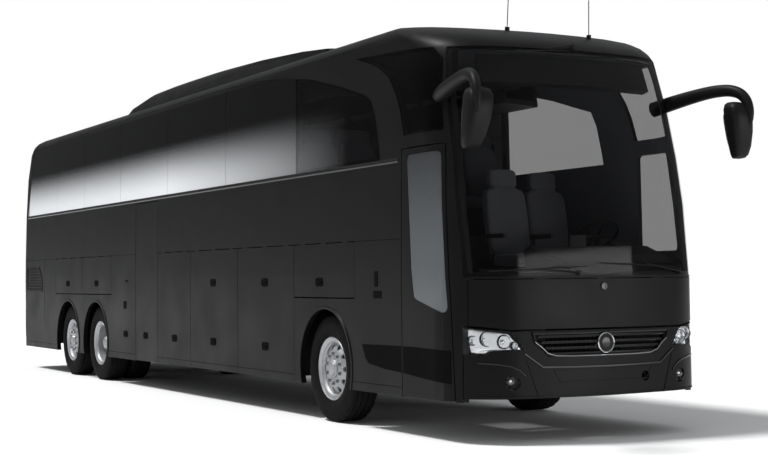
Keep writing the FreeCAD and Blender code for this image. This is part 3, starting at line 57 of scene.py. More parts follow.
# Metres from the front panel, where stations start, back to the frame's origin
SHIFT = 6.865
BODIES = frame["record"]["behaviour"]["bodies"]
NODE_BODY = {node: body for body, nodes in BODIES.items() for node in nodes}
Point = tuple[float, float, float]
Pair = tuple[float, float]
Line = tuple[Pair, ...]
Four = tuple[float, float, float, float]


class Side(Enum):
    """The two sides of the coach, as the sign of X."""

    LEFT = 1
    RIGHT = -1

    @property
    def word(self) -> str:
        """Return the word that piece names use for this side."""
        return self.name.lower()


def place(x: float, s: float, z: float) -> Point:
    """Return the frame's point at a station s metres behind the front panel."""
    return (x, s - SHIFT, z)


def linear(code: str) -> Four:
    """Turn an sRGB hex colour to linear.

    Args:
        code: The colour as #rrggbb.

    Returns:
        Linear red, green, blue and an alpha of 1.
    """
    parts = [int(code[i:i + 2], 16) / 255 for i in (1, 3, 5)]
    light = [c / 12.92 if c <= 0.04045 else ((c + 0.055) / 1.055) ** 2.4 for c in parts]
    return (light[0], light[1], light[2], 1.0)


def add_node(
    tree: NodeTree, kind: str, settings: dict | None = None, links: dict | None = None
) -> Node:
    """Add one node with its settings and links.

    Args:
        tree: The node tree that gets it.
        kind: The node's type name.
        settings: Values by property name, socket name or socket number.
        links: Source sockets by the name or number of the input they feed.

    Returns:
        The new node.
    """
    node = tree.nodes.new(kind)
    for key, value in (settings or {}).items():
        if isinstance(key, int) or key in node.inputs:
            node.inputs[key].default_value = value
        else:
            setattr(node, key, value)
    for key, source in (links or {}).items():
        tree.links.new(source, node.inputs[key])
    return node


def linked(name: str, data: ID) -> Object:
    """Make an object for some data and link it to the scene.

    Args:
        name: The object's name.
        data: Its mesh, lamp or camera.

    Returns:
        The new object.
    """
    made = bpy.data.objects.new(name, data)
    bpy.context.scene.collection.objects.link(made)
    return made


def empty_tree(owner: Material | World) -> NodeTree:
    """Return an owner's node tree with its first nodes taken out.

    Args:
        owner: The material or world.

    Returns:
        Its empty tree.
    """
    owner.use_nodes = True
    owner.node_tree.nodes.clear()
    return owner.node_tree


def per_metre(size_mm: float) -> float:
    """Return the texture scale that repeats once in a size in millimetres."""
    return 1000.0 / size_mm


# A noise texture's values lie mostly between these two
NOISE_LOW = 0.3
NOISE_HIGH = 0.7
# No surface of the coach is smoother than this roughness
SMOOTHEST = 0.02
GRAIN_STRENGTH = 0.6
# A wave texture of scale 1 draws about this many bands in a metre
WAVE_BANDS = 3.2


@dataclass
class Surface:
    """The sockets of one material while it is put together.

    The spot is the object's own coordinates. The colour, roughness and normal are those that the
    shader will take, and each pattern changes them in turn.
    """

    tree: NodeTree
    spot: NodeSocket
    colour: NodeSocket
    rough: NodeSocket
    normal: NodeSocket


@dataclass(frozen=True)
class Finish:
    """One real substance and the way that its surface was made."""

    name: str
    slot: str
    colour: str
    mottle: str
    roughness: float
    metallic: float = 0.0
    ior: float = 1.5
    specular: float = 0.5
    patch_mm: float = 600.0
    grain_mm: float = 6.0
    grain_height_mm: float = 0.05
    rough_swing: float = 0.06
    coat: float = 0.0
    coat_roughness: float = 0.1
    sheen: float = 0.0
    alpha: float = 1.0

    def material(self) -> Material:
        """Return this finish's material, made on first use.

        Returns:
            The material, the same one each time.
        """
        found = bpy.data.materials.get(self.name)
        if found:
            return found
        made = bpy.data.materials.new(self.name)
        tree = empty_tree(made)
        shader = add_node(tree, "ShaderNodeBsdfPrincipled",
            {"Metallic": self.metallic, "Specular IOR Level": self.specular,
             "Coat Weight": self.coat, "Coat Roughness": self.coat_roughness,
             "Sheen Weight": self.sheen, "Alpha": self.alpha})
        if self.metallic < 1:
            shader.inputs["IOR"].default_value = self.ior
        add_node(tree, "ShaderNodeOutputMaterial", links={"Surface": shader.outputs[0]})
        spot = add_node(tree, "ShaderNodeTexCoord").outputs["Object"]
        patches = add_node(tree, "ShaderNodeTexNoise",
            {"Scale": per_metre(self.patch_mm), "Detail": 4.0}, {"Vector": spot})
        tint = add_node(tree, "ShaderNodeMix",
            {"data_type": "RGBA", 6: linear(self.colour), 7: linear(self.mottle)},
            {0: patches.outputs[0]})
        least = max(SMOOTHEST, self.roughness - self.rough_swing)
        most = min(1.0, self.roughness + self.rough_swing)
        rough = add_node(tree, "ShaderNodeMapRange",
            {"From Min": NOISE_LOW, "From Max": NOISE_HIGH, "To Min": least, "To Max": most},
            {"Value": patches.outputs[0]})
        grain = add_node(tree, "ShaderNodeTexNoise",
            {"Scale": per_metre(self.grain_mm), "Detail": 2.0}, {"Vector": spot})
        bump = add_node(tree, "ShaderNodeBump",
            {"Strength": GRAIN_STRENGTH, "Distance": self.grain_height_mm / 1000},
            {"Height": grain.outputs[0]})
        work = Surface(tree, spot, tint.outputs[2], rough.outputs[0], bump.outputs[0])
        self.pattern(work)
        tree.links.new(work.colour, shader.inputs["Base Color"])
        tree.links.new(work.rough, shader.inputs["Roughness"])
        tree.links.new(work.normal, shader.inputs["Normal"])
        self.extra(work, shader)
        return made

    def pattern(self, work: Surface) -> None:
        """Add this finish's own pattern, where it has one."""

    def extra(self, work: Surface, shader: Node) -> None:
        """Set what only this kind of finish needs on its shader."""


@dataclass(frozen=True)
class RoadEnamel(Finish):
    """An outer surface, such as sprayed enamel, with a thin film of road dust low down."""

    dust: str = "#3a3936"
    dust_foot: float = 0.3
    dust_top: float = 0.85
    dust_share: float = 0.1
    streak_mm: float = 90.0

    def pattern(self, work: Surface) -> None:
        """Add the film of dust below its top height.

        Args:
            work: The sockets so far, changed in place.
        """
        tree = work.tree
        height = add_node(tree, "ShaderNodeSeparateXYZ", links={0: work.spot})
        film = add_node(tree, "ShaderNodeMapRange",
            {"From Min": self.dust_foot, "From Max": self.dust_top, "To Min": self.dust_share,
             "To Max": 0.0}, {"Value": height.outputs[2]})
        streaks = add_node(tree, "ShaderNodeTexNoise",
            {"Scale": per_metre(self.streak_mm), "Detail": 5.0}, {"Vector": work.spot})
        share = add_node(tree, "ShaderNodeMath", {"operation": "MULTIPLY"},
            {0: film.outputs[0], 1: streaks.outputs[0]})
        dusty = add_node(tree, "ShaderNodeMix", {"data_type": "RGBA", 7: linear(self.dust)},
            {0: share.outputs[0], 6: work.colour})
        dull = add_node(tree, "ShaderNodeMath", {"operation": "ADD", "use_clamp": True},
            {0: work.rough, 1: share.outputs[0]})
        work.colour = dusty.outputs[2]
        work.rough = dull.outputs[0]


@dataclass(frozen=True)
class PaleFadeGlass(Finish):
    """Toughened privacy glass: near black, with a painted glow low down that stands for the bright
    light seen through the coach.
    """

    # The colour of the painted glow, which stands for bright light seen through the glass
    blind: str = "#fafcff"
    foot: float = 2.43
    head: float = 3.05
    start: float = -4.6
    full: float = 0.2
    tail_start: float = 6.70
    tail_end: float = 6.85
    clear_end: float = -3.47
    clear_blend: float = 0.01
    clear_alpha: float = 0.46

    def pattern(self, work: Surface) -> None:
        """Fade the painted glow of the lower zone upwards, and out towards the front pane and the
        tail.

        Args:
            work: The sockets so far, changed in place.
        """
        tree = work.tree
        parts = add_node(tree, "ShaderNodeSeparateXYZ", links={0: work.spot})
        rise = add_node(tree, "ShaderNodeMapRange",
            {"interpolation_type": "SMOOTHSTEP", "From Min": self.foot, "From Max": self.head,
             "To Min": 1.0, "To Max": 0.0}, {"Value": parts.outputs[2]})
        front = add_node(tree, "ShaderNodeMapRange",
            {"From Min": self.start, "From Max": self.full, "To Min": 0.0, "To Max": 1.0},
            {"Value": parts.outputs[1]})
        rear = add_node(tree, "ShaderNodeMapRange",
            {"From Min": self.tail_start, "From Max": self.tail_end, "To Min": 1.0, "To Max": 0.0},
            {"Value": parts.outputs[1]})
        both = add_node(tree, "ShaderNodeMath", {"operation": "MULTIPLY"},
            {0: front.outputs[0], 1: rear.outputs[0]})
        share = add_node(tree, "ShaderNodeMath", {"operation": "MULTIPLY"},
            {0: rise.outputs[0], 1: both.outputs[0]})
        # Mix the painted glow into the glass's colour
        film = add_node(tree, "ShaderNodeMix", {"data_type": "RGBA", 7: linear(self.blind)},
            {0: share.outputs[0], 6: work.colour})
        work.colour = film.outputs[2]

    def extra(self, work: Surface, shader: Node) -> None:
        """Leave the driver's and the guide's panes clearer than the rest.

        Args:
            work: The material's sockets.
            shader: The shader whose alpha it sets by the place along the coach.
        """
        parts = add_node(work.tree, "ShaderNodeSeparateXYZ", links={0: work.spot})
        share = add_node(work.tree, "ShaderNodeMapRange",
            {"From Min": self.clear_end - self.clear_blend,
             "From Max": self.clear_end + self.clear_blend, "To Min": self.clear_alpha,
             "To Max": self.alpha}, {"Value": parts.outputs[1]})
        work.tree.links.new(share.outputs[0], shader.inputs["Alpha"])


@dataclass(frozen=True)
class WovenCloth(Finish):
    """Woven moquette: crossed threads with a short pile that lifts the light at its edges."""

    # The real thread is about 1.5 mm and would not show, so it is drawn four times as coarse
    thread_mm: float = 6.0
    thread_height: float = 0.0012
    # How strongly painted shade darkens the gaps between the threads
    wear: float = 0.35

    def pattern(self, work: Surface) -> None:
        """Cross two bands of thread and paint shade into the gaps between them.

        Args:
            work: The sockets so far, changed in place.
        """
        tree = work.tree
        heights = []
        for direction in ("X", "Z"):
            wave = add_node(tree, "ShaderNodeTexWave",
                {"bands_direction": direction, "Scale": per_metre(self.thread_mm) / WAVE_BANDS,
                 "Distortion": 0.6}, {"Vector": work.spot})
            heights.append(wave.outputs[1])
        weave = add_node(tree, "ShaderNodeMath", {"operation": "MAXIMUM"},
            {0: heights[0], 1: heights[1]})
        bump = add_node(tree, "ShaderNodeBump", {"Strength": 0.7, "Distance": self.thread_height},
            {"Height": weave.outputs[0], "Normal": work.normal})
        # Painted shade: the gaps between the threads are darkened by the weave's height
        gap_shaded = add_node(tree, "ShaderNodeMix",
            {"data_type": "RGBA", "blend_type": "MULTIPLY", 0: self.wear},
            {6: work.colour, 7: weave.outputs[0]})
        work.colour = gap_shaded.outputs[2]
        work.normal = bump.outputs[0]


@dataclass(frozen=True)
class RibbedVinyl(Finish):
    """Calendered vinyl floor: straight ribs along the aisle."""

    # The real ribs are about 5 mm apart and would not show, so they are drawn coarser
    rib_mm: float = 18.0
    rib_height: float = 0.001

    def pattern(self, work: Surface) -> None:
        """Add the ribs.

        Args:
            work: The sockets so far, changed in place.
        """
        ribs = add_node(work.tree, "ShaderNodeTexWave",
            {"bands_direction": "X", "Scale": per_metre(self.rib_mm) / WAVE_BANDS},
            {"Vector": work.spot})
        bump = add_node(work.tree, "ShaderNodeBump",
            {"Strength": 0.5, "Distance": self.rib_height},
            {"Height": ribs.outputs[1], "Normal": work.normal})
        work.normal = bump.outputs[0]


# Enamel sprayed over steel: a deep black with a soft satin sheen, dusty at the skirt
ENAMEL = RoadEnamel(
    "sprayed_black_enamel", "black_enamel", "#0b0b0c", "#121213", 0.38, specular=0.1, grain_mm=9,
    grain_height_mm=0.03)
# Moulded ABS: a fine leather grain with a dull sheen
ABS = Finish(
    "moulded_black_abs", "black_plastic", "#0b0b0c", "#131314", 0.5, grain_mm=2.5,
    grain_height_mm=0.12, specular=0.15)
# Polished ABS: the same black, smooth enough to draw thin bright edges
GLOSS_ABS = Finish(
    "polished_black_abs", "black_plastic", "#0a0a0b", "#111112", 0.2, grain_mm=14,
    grain_height_mm=0.02, specular=0.3, coat=0.15, coat_roughness=0.08)
# Extruded rubber: the dullest black of the coach, which reads as a gap
SEAL = Finish(
    "extruded_black_rubber", "black_plastic", "#050505", "#090909", 0.75, grain_mm=3,
    grain_height_mm=0.1, specular=0.05)
# Laminated glass: clear, with a slight grey tint from its interlayer
SCREEN_GLASS = Finish(
    "laminated_grey_glass", "tinted_glass", "#040405", "#060607", 0.06, ior=1.52,
    grain_height_mm=0.0, rough_swing=0.01, alpha=0.17, specular=0.3)
# Toughened privacy glass: near black above, with a painted glow low down that stands for light seen
# through it
SIDE_GLASS = PaleFadeGlass(
    "toughened_privacy_glass", "tinted_glass", "#040405", "#070708", 0.1, ior=1.52,
    grain_height_mm=0.0, rough_swing=0.02, alpha=0.92, specular=0.1)
# Toughened door glass: a painted grey glow low down that stands for light seen through it, darker
# towards its head
DOOR_GLASS = PaleFadeGlass(
    "toughened_grey_glass", "tinted_glass", "#08090a", "#0c0d0e", 0.08, ior=1.52,
    grain_height_mm=0.0, rough_swing=0.02, alpha=0.8, specular=0.12, blind="#686b6e", foot=1.3,
    head=3.2, start=-9.0, full=-8.0, clear_alpha=0.8)
# Moulded clear polycarbonate: hardly seen but for the glints on its curve
CLEAR_LENS = Finish(
    "moulded_clear_polycarbonate", "lamp_lens", "#202224", "#2a2c2e", 0.05, ior=1.58,
    grain_height_mm=0.0, rough_swing=0.01, alpha=0.1)
# Moulded red polycarbonate: deep red under a clear gloss
RED_LENS = Finish(
    "moulded_red_polycarbonate", "tail_lens", "#5a0505", "#7a0808", 0.14, ior=1.58, grain_mm=8,
    grain_height_mm=0.3, rough_swing=0.03, coat=0.5)
# Chrome plated on plastic: bright as a mirror, a little hazy
CHROME = Finish(
    "plated_bright_chrome", "rim_silver", "#c9cbce", "#dadcdf", 0.16, metallic=1.0, grain_mm=20,
    grain_height_mm=0.01, rough_swing=0.05)
# Vapour-coated aluminium in the lamp bowls: the whitest metal, slightly wavy
REFLECTOR = Finish(
    "aluminised_reflector", "rim_silver", "#dfe2e6", "#f0f2f4", 0.2, metallic=1.0, grain_mm=12,
    grain_height_mm=0.05, rough_swing=0.06)
# Forged aluminium wheel: machined to a soft shine, with brake dust over it
WHEEL_METAL = RoadEnamel(
    "machined_aluminium_wheel", "rim_silver", "#a4a6a9", "#c2c4c7", 0.38, metallic=0.7,
    patch_mm=60, grain_mm=1.5, grain_height_mm=0.06, dust="#6f6a63", dust_top=0.9,
    dust_share=0.35)
# Zinc-plated steel nuts: darker than the wheel, with harder glints
NUT_METAL = Finish(
    "zinc_plated_steel", "rim_silver", "#8d8f92", "#a9abad", 0.3, metallic=1.0, patch_mm=30)
# Vulcanised rubber: dull charcoal, greyer where the road scuffs it
RUBBER = RoadEnamel(
    "vulcanised_tyre_rubber", "tyre", "#080808", "#0e0e0e", 0.8, patch_mm=80, grain_mm=3,
    grain_height_mm=0.2, specular=0.12, dust="#3a3836", dust_top=0.6, dust_share=0.2)
# Chassis paint brushed on thickly: flat near-black with dust on all that hangs low
CHASSIS = RoadEnamel(
    "brushed_chassis_paint", "chassis_paint", "#0e0e0e", "#161615", 0.6, grain_mm=5,
    grain_height_mm=0.2, specular=0.15, dust="#3a3733", dust_top=1.1, dust_share=0.25)
# Sand-cast iron: a brown grey with a coarse pebbled skin
IRON = Finish(
    "sand_cast_iron", "cast_iron", "#3a3836", "#4c4946", 0.72, metallic=0.4, grain_mm=3,
    grain_height_mm=0.5, patch_mm=120)
# Woven moquette: mid grey and soft, with a faint light rim from its pile
CLOTH = WovenCloth(
    "woven_grey_moquette", "seat_fabric", "#44454a", "#55565b", 0.9, sheen=0.15, patch_mm=200,
    grain_height_mm=0.2)
# Moulded cabin trim: dark grey with a fine grain and hardly any shine
TRIM = Finish(
    "moulded_grey_trim", "trim_plastic", "#232426", "#2c2d2f", 0.62, grain_mm=2.5,
    grain_height_mm=0.15, specular=0.2)
# Needle-felted wall lining: a paler grey with no shine at all
LINING = Finish(
    "felted_grey_lining", "trim_plastic", "#55565a", "#626368", 0.92, grain_mm=2,
    grain_height_mm=0.3, specular=0.1)
# Ribbed vinyl: a dull grey floor whose ribs catch the light
VINYL = RibbedVinyl(
    "ribbed_vinyl_floor", "floor_covering", "#37383a", "#444547", 0.7, grain_mm=4,
    grain_height_mm=0.1)
# Silvered glass: a clean mirror
MIRROR = Finish(
    "silvered_mirror_glass", "rim_silver", "#dfe3e6", "#e9ecee", 0.04, metallic=1.0,
    grain_height_mm=0.0, rough_swing=0.01)


def squared(value: float, power: float) -> float:
    """Return a sine or cosine pushed out towards a square's corner by a power below 1."""
    return math.copysign(abs(value) ** power, value)


def squared_ring(count: int, power: float) -> list[Pair]:
    """Return points round a unit ring that is pushed out towards a square.

    Args:
        count: How many points it has.
        power: Squareness, from 0 for a square to 1 for a circle.

    Returns:
        The points, each across and up from the middle.
    """
    turns = [2 * math.pi * k / count for k in range(count)]
    return [(squared(math.cos(t), power), squared(math.sin(t), power)) for t in turns]


@dataclass(frozen=True)
class BodyForm:
    """The smooth outer form that the body's flat-sided solids stand for, in metres.

    The nose and tail are levels of (height, how far it stands back from the foremost point), and
    the radii of each end are its corner's and its bow's.
    """

    length: float = 14.030
    half: float = 1.275
    belt: float = 1.400
    cant: float = 3.440
    lean: float = 0.030
    margin: float = 0.0015
    edge_radius: float = 0.155
    edge_lean: float = math.radians(5)
    roof_centre: float = -8.415
    nose_radii: Pair = (0.6, 4.5)
    tail_radii: Pair = (0.17, 9.0)
    nose: Line = (
        (0.245, 0), (1.372, 0.010), (2.0, 0.058), (2.42, 0.136), (2.86, 0.25), (3.318, 0.43),
        (3.385, 0.495), (3.44, 0.585), (3.495, 0.72), (3.545, 0.91), (3.595, 1.2), (3.66, 1.9))
    tail: Line = (
        (0.245, 0.04), (0.62, 0.005), (1.4, 0.001), (1.7, 0), (2.42, 0.025), (3.0, 0.115),
        (3.38, 0.3), (3.47, 0.44), (3.54, 0.64), (3.595, 0.98), (3.66, 1.8))
    reach: float = 0.08
    nose_end: float = 2.7
    tail_start: float = 12.9
    match_angle: float = math.radians(17)

    def half_width(self, z: float) -> float:
        """Return the body's half width at a height."""
        share = (min(max(z, self.belt), self.cant) - self.belt) / (self.cant - self.belt)
        return self.half - self.lean * share

    def setback(self, levels: Line, z: float) -> float:
        """Return how far an end stands back from its foremost point at a height.

        Args:
            levels: The end's levels, from the foot up.
            z: The height.

        Returns:
            The distance back, in metres.
        """
        if z <= levels[0][0]:
            return levels[0][1]
        for (z0, b0), (z1, b1) in zip(levels, levels[1:]):
            if z <= z1:
                return b0 + (b1 - b0) * (z - z0) / (z1 - z0)
        return levels[-1][1]

    def rows(self, z: float, nose: bool) -> tuple[Pair, Pair, float, float, float]:
        """Return the centres and radii of an end's bow and corner at a height.

        Args:
            z: The height.
            nose: True for the front, False for the tail.

        Returns:
            The bow's centre, the corner's centre, both radii and the angle where they join.
        """
        levels, radii = (self.nose, self.nose_radii) if nose else (self.tail, self.tail_radii)
        small, big = radii
        back = self.setback(levels, z)
        slide = self.half_width(z) - self.half
        small_x = self.half + self.margin - small
        span = math.sqrt((big - small) ** 2 - small_x ** 2)
        join = math.asin(small_x / (big - small))
        return (slide, back + big), (small_x + slide, back + big - span), small, big, join

    def depth_at(self, x: float, z: float, nose: bool) -> float:
        """Return how far behind its foremost point an end's surface lies.

        Args:
            x: The place across.
            z: The height.
            nose: True for the front, False for the tail.

        Returns:
            The depth, in metres.
        """
        bow, corner, small, big, join = self.rows(z, nose)
        across = abs(x)
        if across <= bow[0] + big * math.sin(join):
            return bow[1] - math.sqrt(big ** 2 - (across - bow[0]) ** 2)
        gap = min(small, across - corner[0])
        return corner[1] - math.sqrt(small ** 2 - gap ** 2)

    def on_end(self, x: float, z: float, out: float, nose: bool) -> Point:
        """Return a point on the nose or the tail, moved outwards.

        Args:
            x: The place across.
            z: The height.
            out: How far outwards from the surface it lies.
            nose: True for the front, False for the tail.

        Returns:
            The point, in the frame.
        """
        depth = self.depth_at(x, z, nose)
        station = depth if nose else self.length - depth
        normal = self.end_normal(x, station, z, nose)
        return tuple(Vector(place(x, station, z)) + normal * out)

    def on_nose(self, x: float, z: float, out: float = 0.0) -> Point:
        """Return the frame's point on the nose at x and z, moved outwards."""
        return self.on_end(x, z, out, True)

    def on_tail(self, x: float, z: float, out: float = 0.0) -> Point:
        """Return the frame's point on the tail at x and z, moved outwards."""
        return self.on_end(x, z, out, False)

    def end_normal(self, x: float, s: float, z: float, nose: bool) -> Vector:
        """Return the smooth outward normal of the nose or the tail near a point.

        Args:
            x: The point's place across.
            s: Its station.
            z: Its height.
            nose: True for the front, False for the tail.

        Returns:
            The unit normal.
        """
        depth = s if nose else self.length - s
        bow, corner, small, big, join = self.rows(z, nose)
        across = abs(x)
        if math.atan2(across - bow[0], bow[1] - depth) <= join:
            plan = Vector((across - bow[0], depth - bow[1])).normalized()
        elif depth < corner[1]:
            plan = Vector((across - corner[0], depth - corner[1])).normalized()
        else:
            plan = Vector((1.0, 0.0))
        levels = self.nose if nose else self.tail
        lean = self.half_width(z + self.reach) - self.half_width(z - self.reach)
        back = self.setback(levels, z + self.reach) - self.setback(levels, z - self.reach)
        rise = -(plan.x * lean + plan.y * back) / (2 * self.reach)
        along = plan.y if nose else -plan.y
        return Vector((math.copysign(plan.x, x), along, rise)).normalized()

    def section_normal(self, x: float, z: float) -> Vector:
        """Return the smooth outward normal of the side or the roof near a point.

        Args:
            x: The point's place across.
            z: Its height.

        Returns:
            The unit normal.
        """
        across = abs(x)
        edge_x = self.half_width(self.cant) - self.edge_radius
        if z <= self.cant:
            rise = self.lean / (self.cant - self.belt) if z > self.belt else 0.0
            return Vector((math.copysign(1.0, x), 0.0, rise)).normalized()
        if across > edge_x + self.edge_radius * math.sin(self.edge_lean):
            return Vector((math.copysign(across - edge_x, x), 0.0, z - self.cant)).normalized()
        return Vector((x, 0.0, z - self.roof_centre)).normalized()

    def best_normal(self, spot: Vector, face: Vector) -> tuple[Vector, bool]:
        """Return the smooth normal for a corner of a face, and if the face looks inwards.

        Args:
            spot: The corner, in the frame.
            face: The flat face's normal.

        Returns:
            The normal to shade with, and True for a face of the inner skin.
        """
        s = spot.y + SHIFT
        options = [self.section_normal(spot.x, spot.z)]
        if s < self.nose_end:
            options.append(self.end_normal(spot.x, s, spot.z, True))
        if s > self.tail_start:
            options.append(self.end_normal(spot.x, s, spot.z, False))
        best = max(options, key=lambda n: abs(n.dot(face)))
        match = best.dot(face)
        if abs(match) < math.cos(self.match_angle):
            return face, False
        return (best, False) if match > 0 else (-best, True)


FORM = BodyForm()

# A tube whose first run is less steep than this starts with its side level
STEEP = 0.9
# A sewn channel's depth along and up, as shares of the cushion, and how narrow it is
CHANNEL_ALONG = 0.1
CHANNEL_UP = 0.06
CHANNEL_POWER = 8
# Points nearer than this are welded
WELD = 1e-5


@dataclass
class Shape:
    """Vertices and faces of one piece, gathered from swept and turned forms."""

    verts: list[Point] = field(default_factory=list)
    faces: list[tuple[int, ...]] = field(default_factory=list)

    def rows(self, rows: list[list[Point]], ring: bool = True, loop: bool = False,
             caps: bool = True) -> "Shape":
        """Skin a stack of equal rows of points.

        Args:
            rows: The rows, each as long as the first.
            ring: True if each row closes on itself.
            loop: True if the last row meets the first.
            caps: True to close both ends of an open stack of rings.

        Returns:
            This shape.
        """
        start = len(self.verts)
        size = len(rows[0])
        for row in rows:
            self.verts += [tuple(p) for p in row]
        last = len(rows) if loop else len(rows) - 1
        for i in range(last):
            a = start + i * size
            b = start + ((i + 1) % len(rows)) * size
            for j in range(size if ring else size - 1):
                k = (j + 1) % size
                self.faces.append((a + j, a + k, b + k, b + j))
        if ring and caps and not loop:
            self.faces.append(tuple(range(start, start + size)))
            end = start + (len(rows) - 1) * size
            self.faces.append(tuple(range(end, end + size)))
        return self

    def plate(self, outline: list[Point], push: Vector) -> "Shape":
        """Push a closed outline along a vector to make a plate."""
        far = [tuple(Vector(p) + push) for p in outline]
        return self.rows([outline, far])

    def block(self, low: Point, high: Point) -> "Shape":
        """Add a box between two corners."""
        (x0, y0, z0), (x1, y1, z1) = low, high
        return self.plate([(x0, y0, z0), (x1, y0, z0), (x1, y1, z0), (x0, y1, z0)],
                          Vector((0, 0, z1 - z0)))

    def tube(self, path: list[Point], radius: float | list[float], sides: int = 10,
             flat: float = 1.0, loop: bool = False) -> "Shape":
        """Sweep a round or flattened section along a path.

        Args:
            path: The centre line.
            radius: One radius, or one for each point.
            sides: How many sides the section has.
            flat: How much of its height the section keeps.
            loop: True if the path closes on itself.

        Returns:
            This shape.
        """
        spots = [Vector(p) for p in path]
        radii = radius if isinstance(radius, list) else [radius] * len(spots)
        rings = []
        side = None
        for i, spot in enumerate(spots):
            before = spots[i - 1] if i or loop else spot
            after = spots[(i + 1) % len(spots)] if i + 1 < len(spots) or loop else spot
            run = (after - before).normalized()
            if side is None:
                side = run.orthogonal().normalized()
                if abs(run.z) < STEEP:
                    side = run.cross(Vector((0, 0, 1))).normalized()
            side = (side - run * side.dot(run)).normalized()
            up = run.cross(side)
            ring = []
            for j in range(sides):
                turn = 2 * math.pi * j / sides
                ring.append(tuple(spot + side * math.cos(turn) * radii[i]
                                  + up * math.sin(turn) * radii[i] * flat))
            rings.append(ring)
        return self.rows(rings, loop=loop)

    def turned(self, profile: Sequence[Pair], centre: Point, axis: str = "x", sign: float = 1.0,
               segments: int = 64) -> "Shape":
        """Turn a closed outline about an axis through a centre.

        Args:
            profile: Closed (along, radius) outline.
            centre: A point on the axis, where along is zero.
            axis: The letter of the axis.
            sign: Which way along grows.
            segments: How many flats the turn has.

        Returns:
            This shape.
        """
        rings = []
        for k in range(segments):
            turn = 2 * math.pi * k / segments
            c, s = math.cos(turn), math.sin(turn)
            ring = []
            for along, r in profile:
                a = along * sign
                if axis == "x":
                    ring.append((centre[0] + a, centre[1] + r * c, centre[2] + r * s))
                elif axis == "y":
                    ring.append((centre[0] + r * c, centre[1] + a, centre[2] + r * s))
                else:
                    ring.append((centre[0] + r * c, centre[1] + r * s, centre[2] + a))
            rings.append(ring)
        return self.rows(rings, loop=True)

    def pad(self, centre: Point, size: Point, lean: float = 0.0, channels: int = 0,
            square: float = 0.42, around: int = 28, down: int = 14) -> "Shape":
        """Add a crowned cushion whose sides pull in between its corners.

        Args:
            centre: Its middle.
            size: Its full size across, along and up.
            lean: How far along it leans for each metre up.
            channels: How many sewn channels run along its face.
            square: Squareness, from 0 for a box to 1 for an egg.
            around: Points round it.
            down: Points from top to bottom.

        Returns:
            This shape.
        """
        half = [d / 2 for d in size]
        rings = []
        for i in range(down + 1):
            tilt = math.pi * (i / down - 0.5)
            ring = []
            for j in range(around):
                turn = 2 * math.pi * j / around
                x = half[0] * squared(math.cos(tilt), square) * squared(math.cos(turn), square)
                y = half[1] * squared(math.cos(tilt), square) * squared(math.sin(turn), square)
                z = half[2] * squared(math.sin(tilt), square)
                if channels:
                    wave = abs(math.cos(math.pi * channels * x / size[0])) ** CHANNEL_POWER
                    y *= 1 - CHANNEL_ALONG * wave
                    z *= 1 - CHANNEL_UP * wave
                ring.append((centre[0] + x, centre[1] + y + lean * z, centre[2] + z))
            rings.append(ring)
        return self.rows(rings)

    def piece(self, name: str, body: str, finish: Finish, crease: float = 35.0,
              bevel: float = 0.0) -> Object:
        """Make the piece that this shape describes and put it on its body.

        Args:
            name: The piece's name.
            body: The CAD body that it rides on.
            finish: What it is made of.
            crease: Edges that turn more than this many degrees stay sharp.
            bevel: Width of a rounded edge, in metres.

        Returns:
            The new object.
        """
        mesh = bpy.data.meshes.new(name)
        mesh.from_pydata(self.verts, [], self.faces)
        tidy(mesh, crease)
        return stand(name, mesh, body, finish, bevel)


def tidy(mesh: Mesh, crease: float) -> None:
    """Weld a mesh, turn its faces outwards and shade it smooth between sharp edges.

    Args:
        mesh: The mesh, changed in place.
        crease: Edges that turn more than this many degrees stay sharp.
    """
    work = bmesh.new()
    work.from_mesh(mesh)
    bmesh.ops.remove_doubles(work, verts=work.verts, dist=WELD)
    bmesh.ops.recalc_face_normals(work, faces=work.faces)
    work.to_mesh(mesh)
    work.free()
    mesh.shade_smooth()
    mesh.set_sharp_from_angle(angle=math.radians(crease))


def stand(name: str, mesh: Mesh, body: str, finish: Finish,
          bevel: float = 0.0) -> Object:
    """Put a finished mesh on its body, with its finish.

    Args:
        name: The piece's name.
        mesh: Its mesh, in the frame.
        body: The CAD body that it rides on.
        finish: What it is made of.
        bevel: Width of a rounded edge, in metres.

    Returns:
        The new object.
    """
    made = linked(name, mesh)
    if not mesh.materials:
        mesh.materials.append(finish.material())
    if bevel:
        rounded = made.modifiers.new("rounded_edges", "BEVEL")
        rounded.width = bevel
        rounded.segments = 2
        rounded.limit_method = "ANGLE"
    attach(made, body)
    LOG.info("%s: %d faces on %s, %s", name, len(mesh.polygons), body, finish.name)
    return made


def dress_node(node: str, finish: Finish) -> None:
    """Give a carried-over CAD node its finish.

    Args:
        node: The node's name.
        finish: What it is made of.
    """
    mesh = frame["nodes"][node].data
    mesh.materials.clear()
    mesh.materials.append(finish.material())
    LOG.info("%s: carried over, %s", node, finish.name)


def skin(node: str, finish: Finish, inner: Finish | None = None, crease: float = 30.0,
         follow: bool = True) -> Object:
    """Stand a smooth-shaded skin for a CAD node whose flats stand for a curve.

    Args:
        node: The CAD node that it replaces.
        finish: What its outside is made of.
        inner: What its inner face is lined with, if anything.
        crease: Sharp angle for a piece that doesn't follow the body's form.
        follow: True to shade it by the body's smooth form.

    Returns:
        The new object.
    """
    name = node + "_skin"
    mesh = frame["nodes"][node].data.copy()
    mesh.name = name
    mesh.materials.clear()
    mesh.materials.append(finish.material())
    tidy(mesh, crease)
    if follow:
        if inner:
            mesh.materials.append(inner.material())
        normals = [Vector((0, 0, 1))] * len(mesh.loops)
        for face in mesh.polygons:
            flat = face.normal.copy()
            inwards = 0
            for k in face.loop_indices:
                spot = mesh.vertices[mesh.loops[k].vertex_index].co
                normals[k], inside = FORM.best_normal(spot, flat)
                inwards += inside
            if inner and inwards >= 2:
                face.material_index = 1
        mesh.normals_split_custom_set(normals)
    made = stand(name, mesh, NODE_BODY[node], finish)
    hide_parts(node)
    return made


